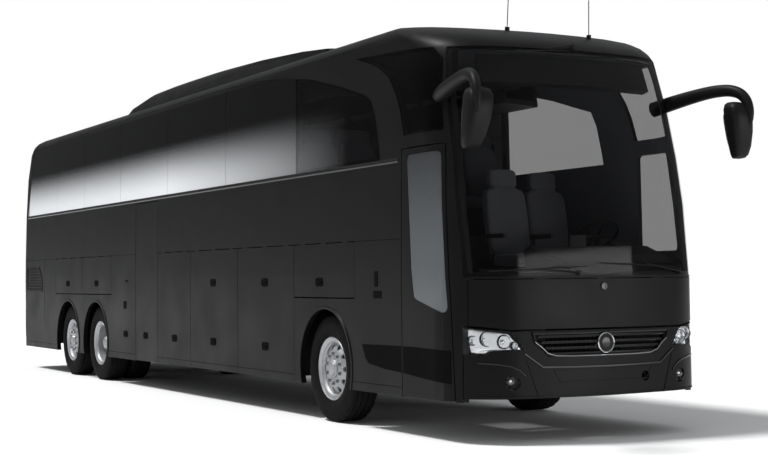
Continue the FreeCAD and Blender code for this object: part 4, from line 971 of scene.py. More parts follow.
# The flange and well that all the wheels share, as (outboard, radius)
RIM_EDGE: Line = (
    (0.084, 0.247), (0.092, 0.256), (0.110, 0.262), (0.114, 0.276), (0.120, 0.292), (0.127, 0.300),
    (0.122, 0.303), (0.115, 0.296), (0.108, 0.286), (-0.108, 0.286), (-0.118, 0.296))


@dataclass
class Wheels:
    """Smooth tyres and machined wheels, with nuts, hand holes and tread.

    The outlines are half of a tyre's section and the whole sections of the wheels, as
    (outboard from the wheel's middle, radius).
    """

    centre: float = 1.077
    spacing: float = 0.335
    axle_z: float = 0.510
    singles: tuple[tuple[str, float], ...] = (("front", 2.725), ("tag", 11.400))
    drive_s: float = 10.050
    hole_radius: float = 0.028
    hole_circle: float = 0.208
    hole_sides: int = 20
    single_hole: Pair = (0.03, 0.15)
    twin_hole: Pair = (-0.20, -0.09)
    nut_circle: float = 0.1425
    nut_radius: float = 0.0165
    nut_length: float = 0.028
    flange_wider: float = 0.004
    flange_length: float = 0.006
    cap_length: float = 0.012
    cap_shares: Pair = (0.7, 0.35)
    single_seat: float = 0.106
    twin_seat: float = -0.155
    holes: int = 10
    tyre_segments: int = 120
    wheel_segments: int = 80
    inner_segments: int = 64
    sipe_every: int = 4
    sipe_zone: Pair = (0.1, 0.133)
    sipe_depth: float = 0.009
    shoulder: float = 0.48
    block_zone: Pair = (0.04, 0.079)
    block_depth: float = 0.006
    crown: float = 0.5
    tyre_half: Line = (
        (0.0, 0.5085), (0.024, 0.5085), (0.026, 0.496), (0.036, 0.496), (0.038, 0.5085),
        (0.078, 0.508), (0.080, 0.495), (0.091, 0.495), (0.093, 0.5075), (0.116, 0.5055),
        (0.124, 0.500), (0.131, 0.486), (0.137, 0.462), (0.143, 0.430), (0.1445, 0.425),
        (0.1445, 0.405), (0.1475, 0.400), (0.148, 0.378), (0.146, 0.352), (0.143, 0.345),
        (0.140, 0.328), (0.128, 0.309), (0.114, 0.297), (0.111, 0.290))
    bulged: Line = (
        (0.140, 0.0), (0.140, 0.052), (0.136, 0.060), (0.128, 0.064), (0.128, 0.082),
        (0.122, 0.088), (0.110, 0.090), (0.108, 0.098), (0.108, 0.166), (0.104, 0.180),
        (0.090, 0.198), (0.074, 0.222), (0.062, 0.236), (0.060, 0.243), *RIM_EDGE,
        (-0.118, 0.244), (0.040, 0.244), (0.052, 0.226), (0.078, 0.190), (0.092, 0.166),
        (0.092, 0.088), (-0.010, 0.088), (-0.010, 0.0))
    dished: Line = (
        (0.074, 0.0), (0.074, 0.060), (0.066, 0.074), (0.050, 0.086), (0.030, 0.096),
        (-0.150, 0.100), (-0.153, 0.110), (-0.153, 0.168), (-0.146, 0.184), (-0.122, 0.210),
        (-0.104, 0.236), (-0.096, 0.243), *RIM_EDGE, (-0.118, 0.250), (-0.130, 0.236),
        (-0.160, 0.186), (-0.167, 0.168), (-0.167, 0.0))
    inboard: Line = (
        (0.167, 0.1), (0.167, 0.170), (0.160, 0.188), (0.130, 0.238), (0.118, 0.250),
        (0.118, 0.296), (0.108, 0.286), (-0.108, 0.286), (-0.118, 0.296), (-0.118, 0.246),
        (0.100, 0.243), (0.122, 0.212), (0.146, 0.186), (0.153, 0.168), (0.153, 0.1))

    def cut_at(self, k: int, along: float, r: float) -> float:
        """Return how deep the tread is cut at a point.

        Args:
            k: The number of the point's segment round the tyre.
            along: Its place across the tread.
            r: Its radius before the cut.

        Returns:
            The depth of the shoulder sipe or block gap there, or zero.
        """
        turn = k % self.sipe_every
        across = abs(along)
        if turn == 0 and self.sipe_zone[0] < across < self.sipe_zone[1] and r >= self.shoulder:
            return self.sipe_depth
        if turn == 2 and self.block_zone[0] < across < self.block_zone[1] and r > self.crown:
            return self.block_depth
        return 0.0

    def tyre(self, shape: Shape, x: float, s: float) -> None:
        """Add one tyre with its grooves and sipes.

        Args:
            shape: The shape that gathers it.
            x: The place of its middle across.
            s: Its station.
        """
        half = list(self.tyre_half)
        outline = half + [(-a, r) for a, r in reversed(half[1:])]
        rings = []
        for k in range(self.tyre_segments):
            turn = 2 * math.pi * k / self.tyre_segments
            ring = []
            for along, r in outline:
                cut = self.cut_at(k, along, r)
                y = (r - cut) * math.cos(turn)
                z = (r - cut) * math.sin(turn)
                ring.append((x + along, s - SHIFT + y, self.axle_z + z))
            rings.append(ring)
        shape.rows(rings, loop=True)

    def holed(self, profile: Line, x: float, s: float, side: int, through: Pair,
              name: str) -> Mesh:
        """Return a turned wheel with its hand holes cut.

        Args:
            profile: Closed (outboard, radius) outline from its centre.
            x: Its place across.
            s: Its station.
            side: The sign of outboard.
            through: The outboard range that the holes cut through.
            name: A name for the mesh.

        Returns:
            The cut mesh, in the frame.
        """
        centre = place(x, s, self.axle_z)
        blank = Shape().turned(profile, centre, "x", side, self.wheel_segments)
        tools = Shape()
        for i in range(self.holes):
            turn = 2 * math.pi * i / self.holes
            hub = (centre[0], centre[1] + self.hole_circle * math.cos(turn),
                   centre[2] + self.hole_circle * math.sin(turn))
            path = [(hub[0] + side * a, hub[1], hub[2]) for a in through]
            tools.tube(path, self.hole_radius, self.hole_sides)
        both = []
        for label, shape in (("blank", blank), ("tools", tools)):
            mesh = bpy.data.meshes.new(name + label)
            mesh.from_pydata(shape.verts, [], shape.faces)
            tidy(mesh, crease=30)
            both.append(linked(name + label, mesh))
        cut = both[0].modifiers.new("holes", "BOOLEAN")
        cut.object = both[1]
        cut.operation = "DIFFERENCE"
        cut.solver = "EXACT"
        bpy.context.view_layer.update()
        ready = both[0].evaluated_get(bpy.context.evaluated_depsgraph_get())
        mesh = bpy.data.meshes.new_from_object(ready)
        for made in both:
            bpy.data.objects.remove(made)
        mesh.name = name
        mesh.materials.clear()
        tidy(mesh, crease=32)
        return mesh

    def nuts(self, x: float, s: float, side: int, seat: float) -> Shape:
        """Return a ring of wheel nuts with their flanges and caps.

        Args:
            x: The wheel's place across.
            s: Its station.
            side: The sign of outboard.
            seat: How far outboard of the wheel's middle the nuts sit.

        Returns:
            The nuts' shape.
        """
        shape = Shape()
        for i in range(self.holes):
            turn = 2 * math.pi * (i + 0.5) / self.holes
            y = s - SHIFT + self.nut_circle * math.cos(turn)
            z = self.axle_z + self.nut_circle * math.sin(turn)
            base = x + side * seat
            tip = base + side * self.nut_length
            shape.tube([(base, y, z), (base + side * self.flange_length, y, z)],
                       self.nut_radius + self.flange_wider, sides=16)
            shape.tube([(base, y, z), (tip, y, z)], self.nut_radius, sides=6)
            shape.tube([(tip, y, z), (tip + side * self.cap_length, y, z)],
                       [self.nut_radius * share for share in self.cap_shares], sides=10)
        return shape

    def single(self, side: Side, axle: str, s: float) -> None:
        """Build one front or tag wheel.

        Args:
            side: The coach's side.
            axle: The axle's name, front or tag.
            s: Its station.
        """
        sign = side.value
        body = "%s_wheel_%s" % (axle, side.word)
        x = sign * self.centre
        shape = Shape()
        self.tyre(shape, x, s)
        made = shape.piece("%s_tyre_moulded_%s" % (axle, side.word), body, RUBBER, crease=28)
        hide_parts("%s_tyre_%s" % (axle, side.word))
        name = "%s_rim_machined_%s" % (axle, side.word)
        mesh = self.holed(self.bulged, x, s, sign, self.single_hole, name)
        made = stand(name, mesh, body, WHEEL_METAL)
        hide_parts("%s_rim_%s" % (axle, side.word))
        self.nuts(x, s, sign, self.single_seat).piece(
            "%s_nuts_%s" % (axle, side.word), body, NUT_METAL, crease=25)

    def twins(self, side: Side) -> None:
        """Build one side's pair of drive wheels.

        Args:
            side: The coach's side.
        """
        sign = side.value
        body = "drive_wheels_" + side.word
        outer_x = sign * self.centre
        inner_x = sign * (self.centre - self.spacing)
        shape = Shape()
        self.tyre(shape, outer_x, self.drive_s)
        self.tyre(shape, inner_x, self.drive_s)
        made = shape.piece("drive_tyres_moulded_" + side.word, body, RUBBER, crease=28)
        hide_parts("drive_tyres_" + side.word)
        name = "drive_rim_machined_" + side.word
        mesh = self.holed(self.dished, outer_x, self.drive_s, sign, self.twin_hole, name)
        made = stand(name, mesh, body, WHEEL_METAL)
        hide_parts("drive_rims_" + side.word)
        Shape().turned(self.inboard, place(inner_x, self.drive_s, self.axle_z), "x", sign,
                       self.inner_segments).piece("drive_rim_inner_" + side.word, body, WHEEL_METAL)
        self.nuts(outer_x, self.drive_s, sign, self.twin_seat).piece(
            "drive_nuts_" + side.word, body, NUT_METAL, crease=25)

    def build(self) -> None:
        """Build every tyre and wheel on its body."""
        for side in Side:
            for axle, s in self.singles:
                self.single(side, axle, s)
            self.twins(side)


@dataclass
class BodySkins:
    """The painted shell, its glass and the carried-over plain nodes."""

    lined: tuple[str, ...] = ("front_shell", "rear_shell", "roof", "left_side_wall",
                              "right_side_wall", "front_door_leaf", "mid_door_leaf")
    plain: tuple[str, ...] = ("front_bumper", "front_lid", "engine_lid")
    clear: tuple[tuple[str, Finish], ...] = (
        ("windscreen", SCREEN_GLASS), ("front_door_glass", DOOR_GLASS),
        ("fixed_windows", SIDE_GLASS), ("tail_lamps", RED_LENS), ("headlamps", CLEAR_LENS))
    running_gear: tuple[str, ...] = ("axles", "front_knuckle_left", "front_knuckle_right")
    carried: tuple[tuple[str, Finish], ...] = (
        ("underframe", CHASSIS), ("passenger_deck", VINYL), ("engine", IRON),
        ("luggage_racks", TRIM), ("dashboard", ABS), ("roof_hatches", ENAMEL),
        ("front_door_arm", CHASSIS), ("mid_door_arm", CHASSIS), ("antennas", ABS),
        ("tow_sockets", CHASSIS), ("grille", ABS))
    axle_crease: float = 34
    fairing_crease: float = 38

    def build(self) -> None:
        """Dress the shell, the glass, the flaps and the inner nodes."""
        for node in self.lined:
            skin(node, ENAMEL, LINING)
        for node in self.plain:
            skin(node, ENAMEL, CHASSIS)
        for node, finish in self.clear:
            skin(node, finish)
        for node in self.running_gear:
            skin(node, CHASSIS, follow=False, crease=self.axle_crease)
        for node in frame["nodes"]:
            if "_flap_" in node:
                dress_node(node, ENAMEL)
        for node, finish in self.carried:
            dress_node(node, finish)
        skin("roof_air_conditioner", ENAMEL, follow=False, crease=self.fairing_crease)


@dataclass
class FrontFace:
    """Grille brightwork, lamp bowls, bumper seams, lid lock and wipers.

    Lines are (x, height) points seen from the front. Sections that are swept along them are
    (outwards, up), and turned sections are (rearwards, radius). Spots are (x, height, radius).
    """

    grille_z: Pair = (0.712, 0.905)
    grille_half: Pair = (0.560, 0.690)
    surround_section: Line = (
        (0.010, -0.012), (0.016, 0.0), (0.010, 0.012), (-0.010, 0.014), (-0.010, -0.014))
    bright_section: Line = (
        (0.0165, -0.003), (0.019, 0.0), (0.0165, 0.003), (0.012, 0.0))
    blade_section: Line = (
        (0.004, -0.012), (0.010, -0.004), (0.008, 0.008), (-0.012, 0.012), (-0.012, -0.010))
    blades: int = 4
    blade_rise: float = 0.022
    blade_inset: float = 0.03
    bars_each_side: int = 13
    bar_pitch: float = 0.045
    bar_inset: float = 0.012
    bar_depth: float = 0.02
    bar_radius: float = 0.003
    boss_z: float = 0.815
    boss_radius: float = 0.088
    lamp_outline: Line = (
        (1.165, 0.945), (1.09, 0.93), (0.885, 0.90), (0.775, 0.775), (1.01, 0.775),
        (1.06, 0.735), (1.15, 0.755), (1.165, 0.86))
    lamp_z: Pair = (0.748, 0.938)
    lamp_rows: int = 20
    lamp_ribs: int = 12
    back_depth: float = 0.050
    rib_depth: float = 0.004
    back_rear: float = 0.062
    spots: tuple[Point, ...] = (
        (0.905, 0.838, 0.052), (1.02, 0.862, 0.055), (1.112, 0.850, 0.034),
        (0.83, 0.805, 0.026))
    fog_x: float = 0.865
    fog_edge: float = 0.905
    fog_z: float = 0.522
    fog_ring: Line = (
        (-0.004, 0.040), (-0.010, 0.045), (-0.004, 0.050), (0.02, 0.050), (0.02, 0.040))
    fog_cup: Line = (
        (0.006, 0.040), (0.012, 0.02), (0.008, 0.0), (0.03, 0.0), (0.03, 0.04))
    fog_eye: Line = (
        (0.004, 0.0), (0.006, 0.012), (0.012, 0.018), (0.02, 0.018), (0.02, 0.0))
    seam: Line = ((0.748, 0.70), (0.64, 0.376))
    crease: Line = ((0.76, 0.742), (0.60, 0.628), (0.30, 0.622), (0, 0.62))
    corner_crease: Line = (
        (0.755, 0.560), (0.80, 0.605), (0.87, 0.638), (0.98, 0.660), (1.10, 0.668))
    lip: Line = (
        (-1.1, 0.388), (-0.6, 0.384), (0.0, 0.382), (0.6, 0.384), (1.1, 0.388))
    recess: Line = (
        (-0.50, 0.60), (0.50, 0.60), (0.44, 0.50), (-0.44, 0.50), (-0.50, 0.60))
    recess_section: Line = (
        (0.003, -0.004), (0.003, 0.004), (-0.006, 0.006), (-0.006, -0.006))
    strip_root: float = -0.008
    strip_top: float = 0.7
    lock_z: float = 1.283
    lock_section: Line = (
        (-0.003, 0.0), (-0.003, 0.018), (-0.009, 0.021), (-0.009, 0.028), (-0.004, 0.032),
        (0.006, 0.032), (0.006, 0.0))
    # Each wiper's pivot, the tip of its arm, and the two ends of its blade
    wiper_sets: tuple[tuple[Pair, Pair, Pair, Pair], ...] = (
        ((-0.250, 1.400), (-0.640, 1.432), (-1.020, 1.415), (-0.170, 1.450)),
        ((0.860, 1.400), (0.450, 1.470), (-0.040, 1.478), (0.800, 1.440)),
        ((0.030, 3.352), (-0.300, 3.300), (-0.660, 3.270), (-0.040, 3.305)))
    arm_out: float = 0.020
    arm_radius: float = 0.012
    arm_taper: float = 0.005
    post_outs: Pair = (-0.002, 0.030)
    post_radii: Pair = (0.022, 0.016)
    blade_out: float = 0.010
    blade_step: float = 0.04
    blade_radius: float = 0.006
    clip_out: float = 0.014
    clip_half: float = 0.03
    clip_radius: float = 0.008
    clip_shares: Pair = (0.25, 0.75)
    yoke_out: float = 0.017
    yoke_radius: float = 0.005
    yoke_shares: tuple[Pair, Pair] = ((0.7, 0.3), (0.3, 0.7))

    def sweep(self, points: Sequence[Pair], profile: Sequence[Pair], loop: bool = False) -> Shape:
        """Sweep a section along a line on the nose.

        Args:
            points: The line, as (x, z) seen from the front.
            profile: Closed section, as (outwards, up) offsets.
            loop: True if the line closes on itself.

        Returns:
            The swept shape.
        """
        rows = []
        for x, z in points:
            rows.append([FORM.on_nose(x, z + up, out) for out, up in profile])
        return Shape().rows(rows, loop=loop)

    def run(self, ends: Sequence[Pair], step: float = 0.06) -> list[Pair]:
        """Return points spaced evenly along a run of straight lines.

        Args:
            ends: The ends of the lines, in order.
            step: The spacing aimed at, in metres.

        Returns:
            The points, the ends among them.
        """
        points = [ends[0]]
        for a, b in zip(ends, ends[1:]):
            count = max(1, round(math.hypot(b[0] - a[0], b[1] - a[1]) / step))
            for i in range(1, count + 1):
                points.append((a[0] + (b[0] - a[0]) * i / count, a[1] + (b[1] - a[1]) * i / count))
        return points

    def line(self, ends: Sequence[Pair], name: str, finish: Finish, width: float,
             proud: float) -> None:
        """Lay a thin strip along a line on the nose.

        Args:
            ends: The ends of its straight lines, in order.
            name: The piece's name.
            finish: What it is made of.
            width: Its width at the root.
            proud: How far it stands out of the surface.
        """
        h = width / 2
        top = h * self.strip_top
        profile = [(proud, -top), (proud, top), (self.strip_root, h), (self.strip_root, -h)]
        self.sweep(self.run(ends), profile).piece(name, "coach", finish, crease=30)

    def grille(self) -> None:
        """Build the surround, the bright line, the blades and the bars behind them."""
        (low, high), (foot, head) = self.grille_z, self.grille_half
        corner = [(head, high), (head - 0.02, high - 0.07), (foot + 0.045, low + 0.075),
                  (foot, low + 0.03), (foot - 0.08, low + 0.006), (foot - 0.24, low)]
        bottom = corner[1:] + [(-x, z) for x, z in reversed(corner[1:])]
        frame_line = [(-head, high)] + [(head, high)] + bottom + [(-head, high)]
        self.sweep(self.run(frame_line)[:-1], self.surround_section, loop=True).piece(
            "grille_surround", "coach", GLOSS_ABS, crease=50)
        self.sweep(self.run(bottom), self.bright_section).piece(
            "grille_bright_line", "coach", CHROME, crease=60)
        pitch = (high - low) / self.blades
        for i in range(self.blades):
            z = low + pitch * i + self.blade_rise
            half = foot + (head - foot) * (z - low) / (high - low) - self.blade_inset
            self.sweep(self.run([(-half, z), (half, z)]), self.blade_section).piece(
                "grille_blade_%d" % (i + 1), "coach", GLOSS_ABS, crease=40)
        mesh = Shape()
        for k in range(-self.bars_each_side, self.bars_each_side + 1):
            ends = [FORM.on_nose(k * self.bar_pitch, z, -self.bar_depth)
                    for z in (low + self.bar_inset, high - self.bar_inset)]
            mesh.tube(ends, self.bar_radius, sides=6)
        mesh.piece("grille_bars", "coach", ABS)

    def boss(self) -> None:
        """Build the plain round boss and its bright ring."""
        spot = (0, FORM.on_nose(0, self.boss_z)[1], self.boss_z)
        r = self.boss_radius
        ring = [(-0.002, r - 0.017), (-0.020, r - 0.015), (-0.0255, r - 0.009),
                (-0.021, r - 0.002), (-0.004, r + 0.001), (0.01, r + 0.001), (0.01, r - 0.017)]
        Shape().turned(ring, spot, "y", 1, segments=72).piece(
            "boss_bright_ring", "coach", CHROME, crease=50)
        dome = [(-0.021, 0.0), (-0.0205, 0.03), (-0.0175, 0.055), (-0.014, r - 0.018),
                (0.01, r - 0.018), (0.01, 0.0)]
        Shape().turned(dome, spot, "y", 1, segments=72).piece(
            "boss_plain_dome", "coach", GLOSS_ABS, crease=50)

    def lamp_back(self, shape: Shape, sign: int) -> None:
        """Add the ribbed back of one headlamp.

        Args:
            shape: The shape that gathers it.
            sign: The sign of its side.
        """
        rows = []
        foot, head = self.lamp_z
        for i in range(self.lamp_rows + 1):
            z = foot + (head - foot) * i / self.lamp_rows
            low, high = self.span(z, self.lamp_outline)
            columns = range(self.lamp_ribs + 1)
            deep = [-self.back_depth + self.rib_depth * ((k + i) % 2) for k in columns]
            line = [low + (high - low) * k / self.lamp_ribs for k in columns]
            front = [FORM.on_nose(sign * x, z, d) for x, d in zip(line, deep)]
            back = [FORM.on_nose(sign * x, z, -self.back_rear) for x in line]
            rows.append(front + back[::-1])
        shape.rows(rows)

    def lamps(self) -> None:
        """Build the bowls, projectors and bezels behind each headlamp lens, and the fog lamps."""
        backs, rings, bowls, bulbs, fogs = Shape(), Shape(), Shape(), Shape(), Shape()
        for side in Side:
            sign = side.value
            self.lamp_back(backs, sign)
            for x, z, r in self.spots:
                y = max(FORM.on_nose(sign * (x - r), z)[1], FORM.on_nose(sign * (x + r), z)[1])
                spot = (sign * x, y, z)
                bowl = [(0.014, r), (0.012, r + 0.004), (0.045, r * 0.8), (0.062, r * 0.4),
                        (0.062, 0.0), (0.058, 0.0), (0.056, r * 0.35), (0.04, r * 0.72)]
                bowls.turned(bowl, spot, "y", 1, segments=40)
                rim = [(0.008, r + 0.002), (0.006, r + 0.004), (0.008, r + 0.007),
                       (0.03, r + 0.007), (0.03, r + 0.002)]
                rings.turned(rim, spot, "y", 1, segments=40)
                lens = [(0.022, 0.0), (0.026, r * 0.3), (0.036, r * 0.5), (0.05, r * 0.5),
                        (0.05, 0.0)]
                bulbs.turned(lens, spot, "y", 1, segments=32)
            fog = (sign * self.fog_x, FORM.on_nose(sign * self.fog_edge, self.fog_z)[1],
                   self.fog_z)
            fogs.turned(self.fog_ring, fog, "y", 1, segments=40)
            fogs.turned(self.fog_cup, fog, "y", 1, segments=40)
            bulbs.turned(self.fog_eye, fog, "y", 1, segments=32)
        fogs.piece("fog_lamp_cups", "coach", GLOSS_ABS, crease=40)
        backs.piece("lamp_ribbed_backs", "coach", REFLECTOR, crease=20)
        rings.piece("lamp_rings", "coach", GLOSS_ABS, crease=40)
        bowls.piece("lamp_bowls", "coach", REFLECTOR, crease=40)
        bulbs.piece("lamp_projectors", "coach", CHROME, crease=40)

    def span(self, z: float, outline: Line) -> Pair:
        """Return the least and the greatest x of a closed outline at a height.

        Args:
            z: The height.
            outline: The outline's corners, as (x, z).

        Returns:
            Both values of x.
        """
        hits = []
        for (x0, z0), (x1, z1) in zip(outline, outline[1:] + outline[:1]):
            if (z0 > z) != (z1 > z):
                hits.append(x0 + (x1 - x0) * (z - z0) / (z1 - z0))
        return min(hits), max(hits)

    def seams(self) -> None:
        """Build the bumper's seams, creases and lower lip, and the lid's lock."""
        # Each kind's name, line and finish, how wide it is and how far it stands out
        marks = (("bumper_seam_", self.seam, SEAL, 0.007, 0.0015),
                 ("bumper_crease_", self.crease, GLOSS_ABS, 0.018, 0.008),
                 ("corner_crease_", self.corner_crease, GLOSS_ABS, 0.016, 0.007))
        for side in Side:
            for stem, points, finish, width, proud in marks:
                mirrored = [(side.value * x, z) for x, z in points]
                self.line(mirrored, stem + side.word, finish, width, proud)
        self.line(self.lip, "bumper_lower_lip", ABS, width=0.018, proud=0.006)
        self.sweep(self.run(self.recess)[:-1], self.recess_section, loop=True).piece(
            "bumper_centre_panel_edge", "coach", ABS, crease=30)
        spot = (0, FORM.on_nose(0, self.lock_z)[1], self.lock_z)
        Shape().turned(self.lock_section, spot, "y", 1, segments=32).piece(
            "lid_lock", "front_lid", GLOSS_ABS, crease=40)

    def wipers(self) -> None:
        """Build the wiper arms and blades on the glass."""
        shape = Shape()
        for pivot, tip, start, end in self.wiper_sets:
            path = [FORM.on_nose(x, z, self.arm_out) for x, z in self.run([pivot, tip])]
            radii = [self.arm_radius - self.arm_taper * i / len(path) for i in range(len(path))]
            shape.tube(path, radii, sides=8, flat=0.7)
            post = [FORM.on_nose(*pivot, out) for out in self.post_outs]
            shape.tube(post, list(self.post_radii), sides=16)
            fine = self.run([start, end], self.blade_step)
            blade = [FORM.on_nose(x, z, self.blade_out) for x, z in fine]
            shape.tube(blade, self.blade_radius, sides=6, flat=0.8)
            for share in self.clip_shares:
                x, z = (a + (b - a) * share for a, b in zip(start, end))
                clip = [FORM.on_nose(x - self.clip_half, z, self.clip_out),
                        FORM.on_nose(x + self.clip_half, z, self.clip_out)]
                shape.tube(clip, self.clip_radius, sides=8)
            held = [(start[0] * p + end[0] * q, start[1] * p + end[1] * q)
                    for p, q in self.yoke_shares]
            yoke = [FORM.on_nose(x, z, self.yoke_out) for x, z in self.run(held)]
            shape.tube(yoke, self.yoke_radius, sides=6)
        made = shape.piece("wiper_arms_and_blades", "coach", ABS, crease=40)
        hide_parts("wipers")

    def build(self) -> None:
        """Build the front's fittings."""
        self.grille()
        self.boss()
        self.lamps()
        self.seams()
        self.wipers()


@dataclass
class SideTrim:
    """Seams, strips, arch lips, handles and vents of both sides.

    Places along a side are stations. Handles are (station, stem of the body's name), handle rings
    are (half length, half height, outwards), and small flaps are (station, height, half length,
    half height).
    """

    arch_radius: float = 0.560
    arch_z: float = 0.530
    arch_steps: int = 48
    arches: tuple[tuple[str, float], ...] = (("front", 2.725), ("drive", 10.05), ("tag", 11.4))
    lip_section: Line = (
        (-0.010, -0.004), (-0.010, 0.006), (0.000, 0.010), (0.014, 0.008), (0.020, 0.001),
        (0.020, -0.004))
    skirt_z: float = 0.348
    uppers: tuple[tuple[float, str], ...] = (
        (2.845, "service_flap_front_"), (4.164, "luggage_flap_1_"), (5.618, "luggage_flap_2_"),
        (10.0, "service_flap_drive_"), (11.4, "service_flap_tag_"))
    lowers: tuple[tuple[float, str], ...] = (
        (4.16, "luggage_flap_1_"), (5.62, "luggage_flap_2_"), (6.887, "luggage_flap_3_"))
    upper_z: float = 1.337
    lower_z: float = 0.674
    handle_points: int = 28
    handle_square: float = 0.45
    panel_handle: float = 8.732
    door_handle: float = 7.937
    rim_rings: tuple[Point, ...] = (
        (0.082, 0.044, -0.004), (0.082, 0.044, 0.003), (0.078, 0.040, 0.005),
        (0.068, 0.031, 0.005), (0.064, 0.027, 0.0012), (0.012, 0.006, 0.001))
    paddle_rings: tuple[Point, ...] = (
        (0.052, 0.011, 0.0005), (0.052, 0.011, 0.006), (0.046, 0.008, 0.009))
    strip_proud: float = 0.003
    strip_root: float = 0.006
    strip_round: float = 0.002
    strip_edge: float = 0.6
    seam_proud: float = 0.0008
    seam_root: float = 0.004
    seam_width: float = 0.006
    seam_steps: int = 4
    seam_gap: float = 0.001
    window_strip: tuple[Pair, Pair] = ((1.262, 13.70), (2.374, 2.414))
    waist_seams: Line = ((1.215, 2.096), (8.334, 9.327), (12.053, 13.80))
    waist_z: Pair = (1.7045, 1.7105)
    foot_seams: Line = ((1.215, 2.14), (8.334, 9.46), (12.06, 13.80))
    foot_z: Pair = (0.421, 0.427)
    tail_seam: float = 12.677
    tail_seam_z: Pair = (0.44, 1.70)
    small_flaps: tuple[Four, ...] = (
        (1.668, 1.362, 0.032, 0.068), (1.645, 1.222, 0.075, 0.034), (8.686, 1.366, 0.05, 0.012),
        (8.754, 1.052, 0.06, 0.05))
    vent_corners: Line = (
        (12.80, 1.215), (13.70, 1.215), (13.70, 1.610), (12.98, 1.600), (12.80, 1.42))
    vent_middle: Pair = (13.27, 1.41)
    vent_proud: float = 0.001
    vent_section: Line = (
        (0.0, -0.004), (0.0, 0.005), (0.025, 0.006), (0.025, -0.004))
    slats: int = 8
    slat_foot: float = 1.245
    slat_pitch: float = 0.044
    slat_ends: Pair = (12.83, 13.67)
    slat_bend_z: float = 1.42
    slat_slope: float = 0.95
    slat_section: Line = (
        (-0.004, -0.004), (0.004, -0.002), (-0.001, 0.026), (-0.004, 0.026))
    wave_upper: Line = (
        (1.957, 0.773), (1.60, 0.778), (1.237, 0.780), (0.989, 0.780), (0.70, 0.775),
        (0.44, 0.765))
    wave_lower: Line = (
        (1.957, 0.770), (1.900, 0.660), (1.842, 0.606), (1.518, 0.567), (1.189, 0.549),
        (0.806, 0.519), (0.44, 0.495))
    wave_parts: tuple[tuple[str, str, float, float], ...] = (
        ("wave_panel", "coach", 1.955, 1.215), ("wave_door", "front_door", 1.185, 0.445))
    wave_z: float = 0.6
    wave_steps: int = 24
    wave_root: float = 0.008
    wave_proud: float = 0.0014

    def strip(self, shape: Shape, sign: int, stations: Pair, heights: Pair, proud: float) -> None:
        """Add a thin strip on a side.

        Args:
            shape: The shape that gathers it.
            sign: The sign of the side.
            stations: Where it starts and ends along the side.
            heights: Its foot and head.
            proud: How far it stands out of the side.
        """
        z0, z1 = heights
        low = FORM.half_width(z0)
        high = FORM.half_width(z1)
        soft = min(self.strip_round, (z1 - z0) / 4)
        edge = proud * self.strip_edge
        section = [(low - self.strip_root, z0), (low + edge, z0), (low + proud, z0 + soft),
                   (high + proud, z1 - soft), (high + edge, z1), (high - self.strip_root, z1)]
        shape.rows([[place(sign * x, s, z) for x, z in section] for s in stations])

    def upright(self, shape: Shape, sign: int, s: float, heights: Pair) -> None:
        """Add a thin upright seam that follows the side's lean.

        Args:
            shape: The shape that gathers it.
            sign: The sign of the side.
            s: Its station.
            heights: Its foot and head.
        """
        z0, z1 = heights
        half = self.seam_width / 2
        rows = []
        for k in range(self.seam_steps + 1):
            z = z0 + (z1 - z0) * k / self.seam_steps
            x = FORM.half_width(z)
            root, top = sign * (x - self.seam_root), sign * (x + self.seam_proud)
            rows.append([place(root, s - half, z), place(top, s - half, z),
                         place(top, s + half, z), place(root, s + half, z)])
        shape.rows(rows)

    def handle(self, shape: Shape, sign: int, s: float, z: float) -> None:
        """Add a recessed grab handle: rim, dark cup and paddle.

        Args:
            shape: The shape that gathers it.
            sign: The sign of the side.
            s: The station of its middle.
            z: The height of its middle.
        """
        x = FORM.half_width(z)
        oblong = squared_ring(self.handle_points, self.handle_square)
        for rings in (self.rim_rings, self.paddle_rings):
            shape.rows([[place(sign * (x + out), s + half_s * c, z + half_z * e)
                         for c, e in oblong] for half_s, half_z, out in rings])

    def arch_lip(self, sign: int, s: float) -> Shape:
        """Return the rolled lip round a wheel arch.

        Args:
            sign: The sign of the side.
            s: The axle's station.

        Returns:
            The lip's shape.
        """
        start = math.asin((self.skirt_z - self.arch_z) / self.arch_radius)
        rows = []
        for k in range(self.arch_steps + 1):
            turn = start + (math.pi - 2 * start) * k / self.arch_steps
            y = s + self.arch_radius * math.cos(turn)
            z = self.arch_z + self.arch_radius * math.sin(turn)
            rows.append([place(sign * (FORM.half_width(z) + out), y + grow * math.cos(turn),
                               z + grow * math.sin(turn)) for grow, out in self.lip_section])
        return Shape().rows(rows)

    def vent(self, sign: int) -> tuple[Shape, Shape]:
        """Return the frame and the slats of the rear side vent.

        Args:
            sign: The sign of the side.

        Returns:
            The frame's shape and the slats' shape.
        """
        x = FORM.half + self.vent_proud
        mid_s, mid_z = self.vent_middle
        ring = []
        for grow, out in self.vent_section:
            ring.append([place(sign * (x + out), s - math.copysign(grow, s - mid_s),
                               z - math.copysign(grow, z - mid_z)) for s, z in self.vent_corners])
        rim = Shape().rows(ring, loop=True)
        slats = Shape()
        front, rear = self.slat_ends
        for k in range(self.slats):
            z = self.slat_foot + self.slat_pitch * k
            s0 = front if z < self.slat_bend_z else front + (z - self.slat_bend_z) * self.slat_slope
            slats.rows([[place(sign * (x + out), s, z + up) for out, up in self.slat_section]
                        for s in (s0, rear)])
        return rim, slats

    def height(self, line: Line, s: float) -> float:
        """Return a line's height at a station.

        Args:
            line: Points of (station, height), from the rearmost forwards.
            s: The station.

        Returns:
            The height between the two points round it.
        """
        for (s0, z0), (s1, z1) in zip(line, line[1:]):
            if s >= s1:
                return z0 + (z1 - z0) * (s - s0) / (s1 - s0)
        return line[-1][1]

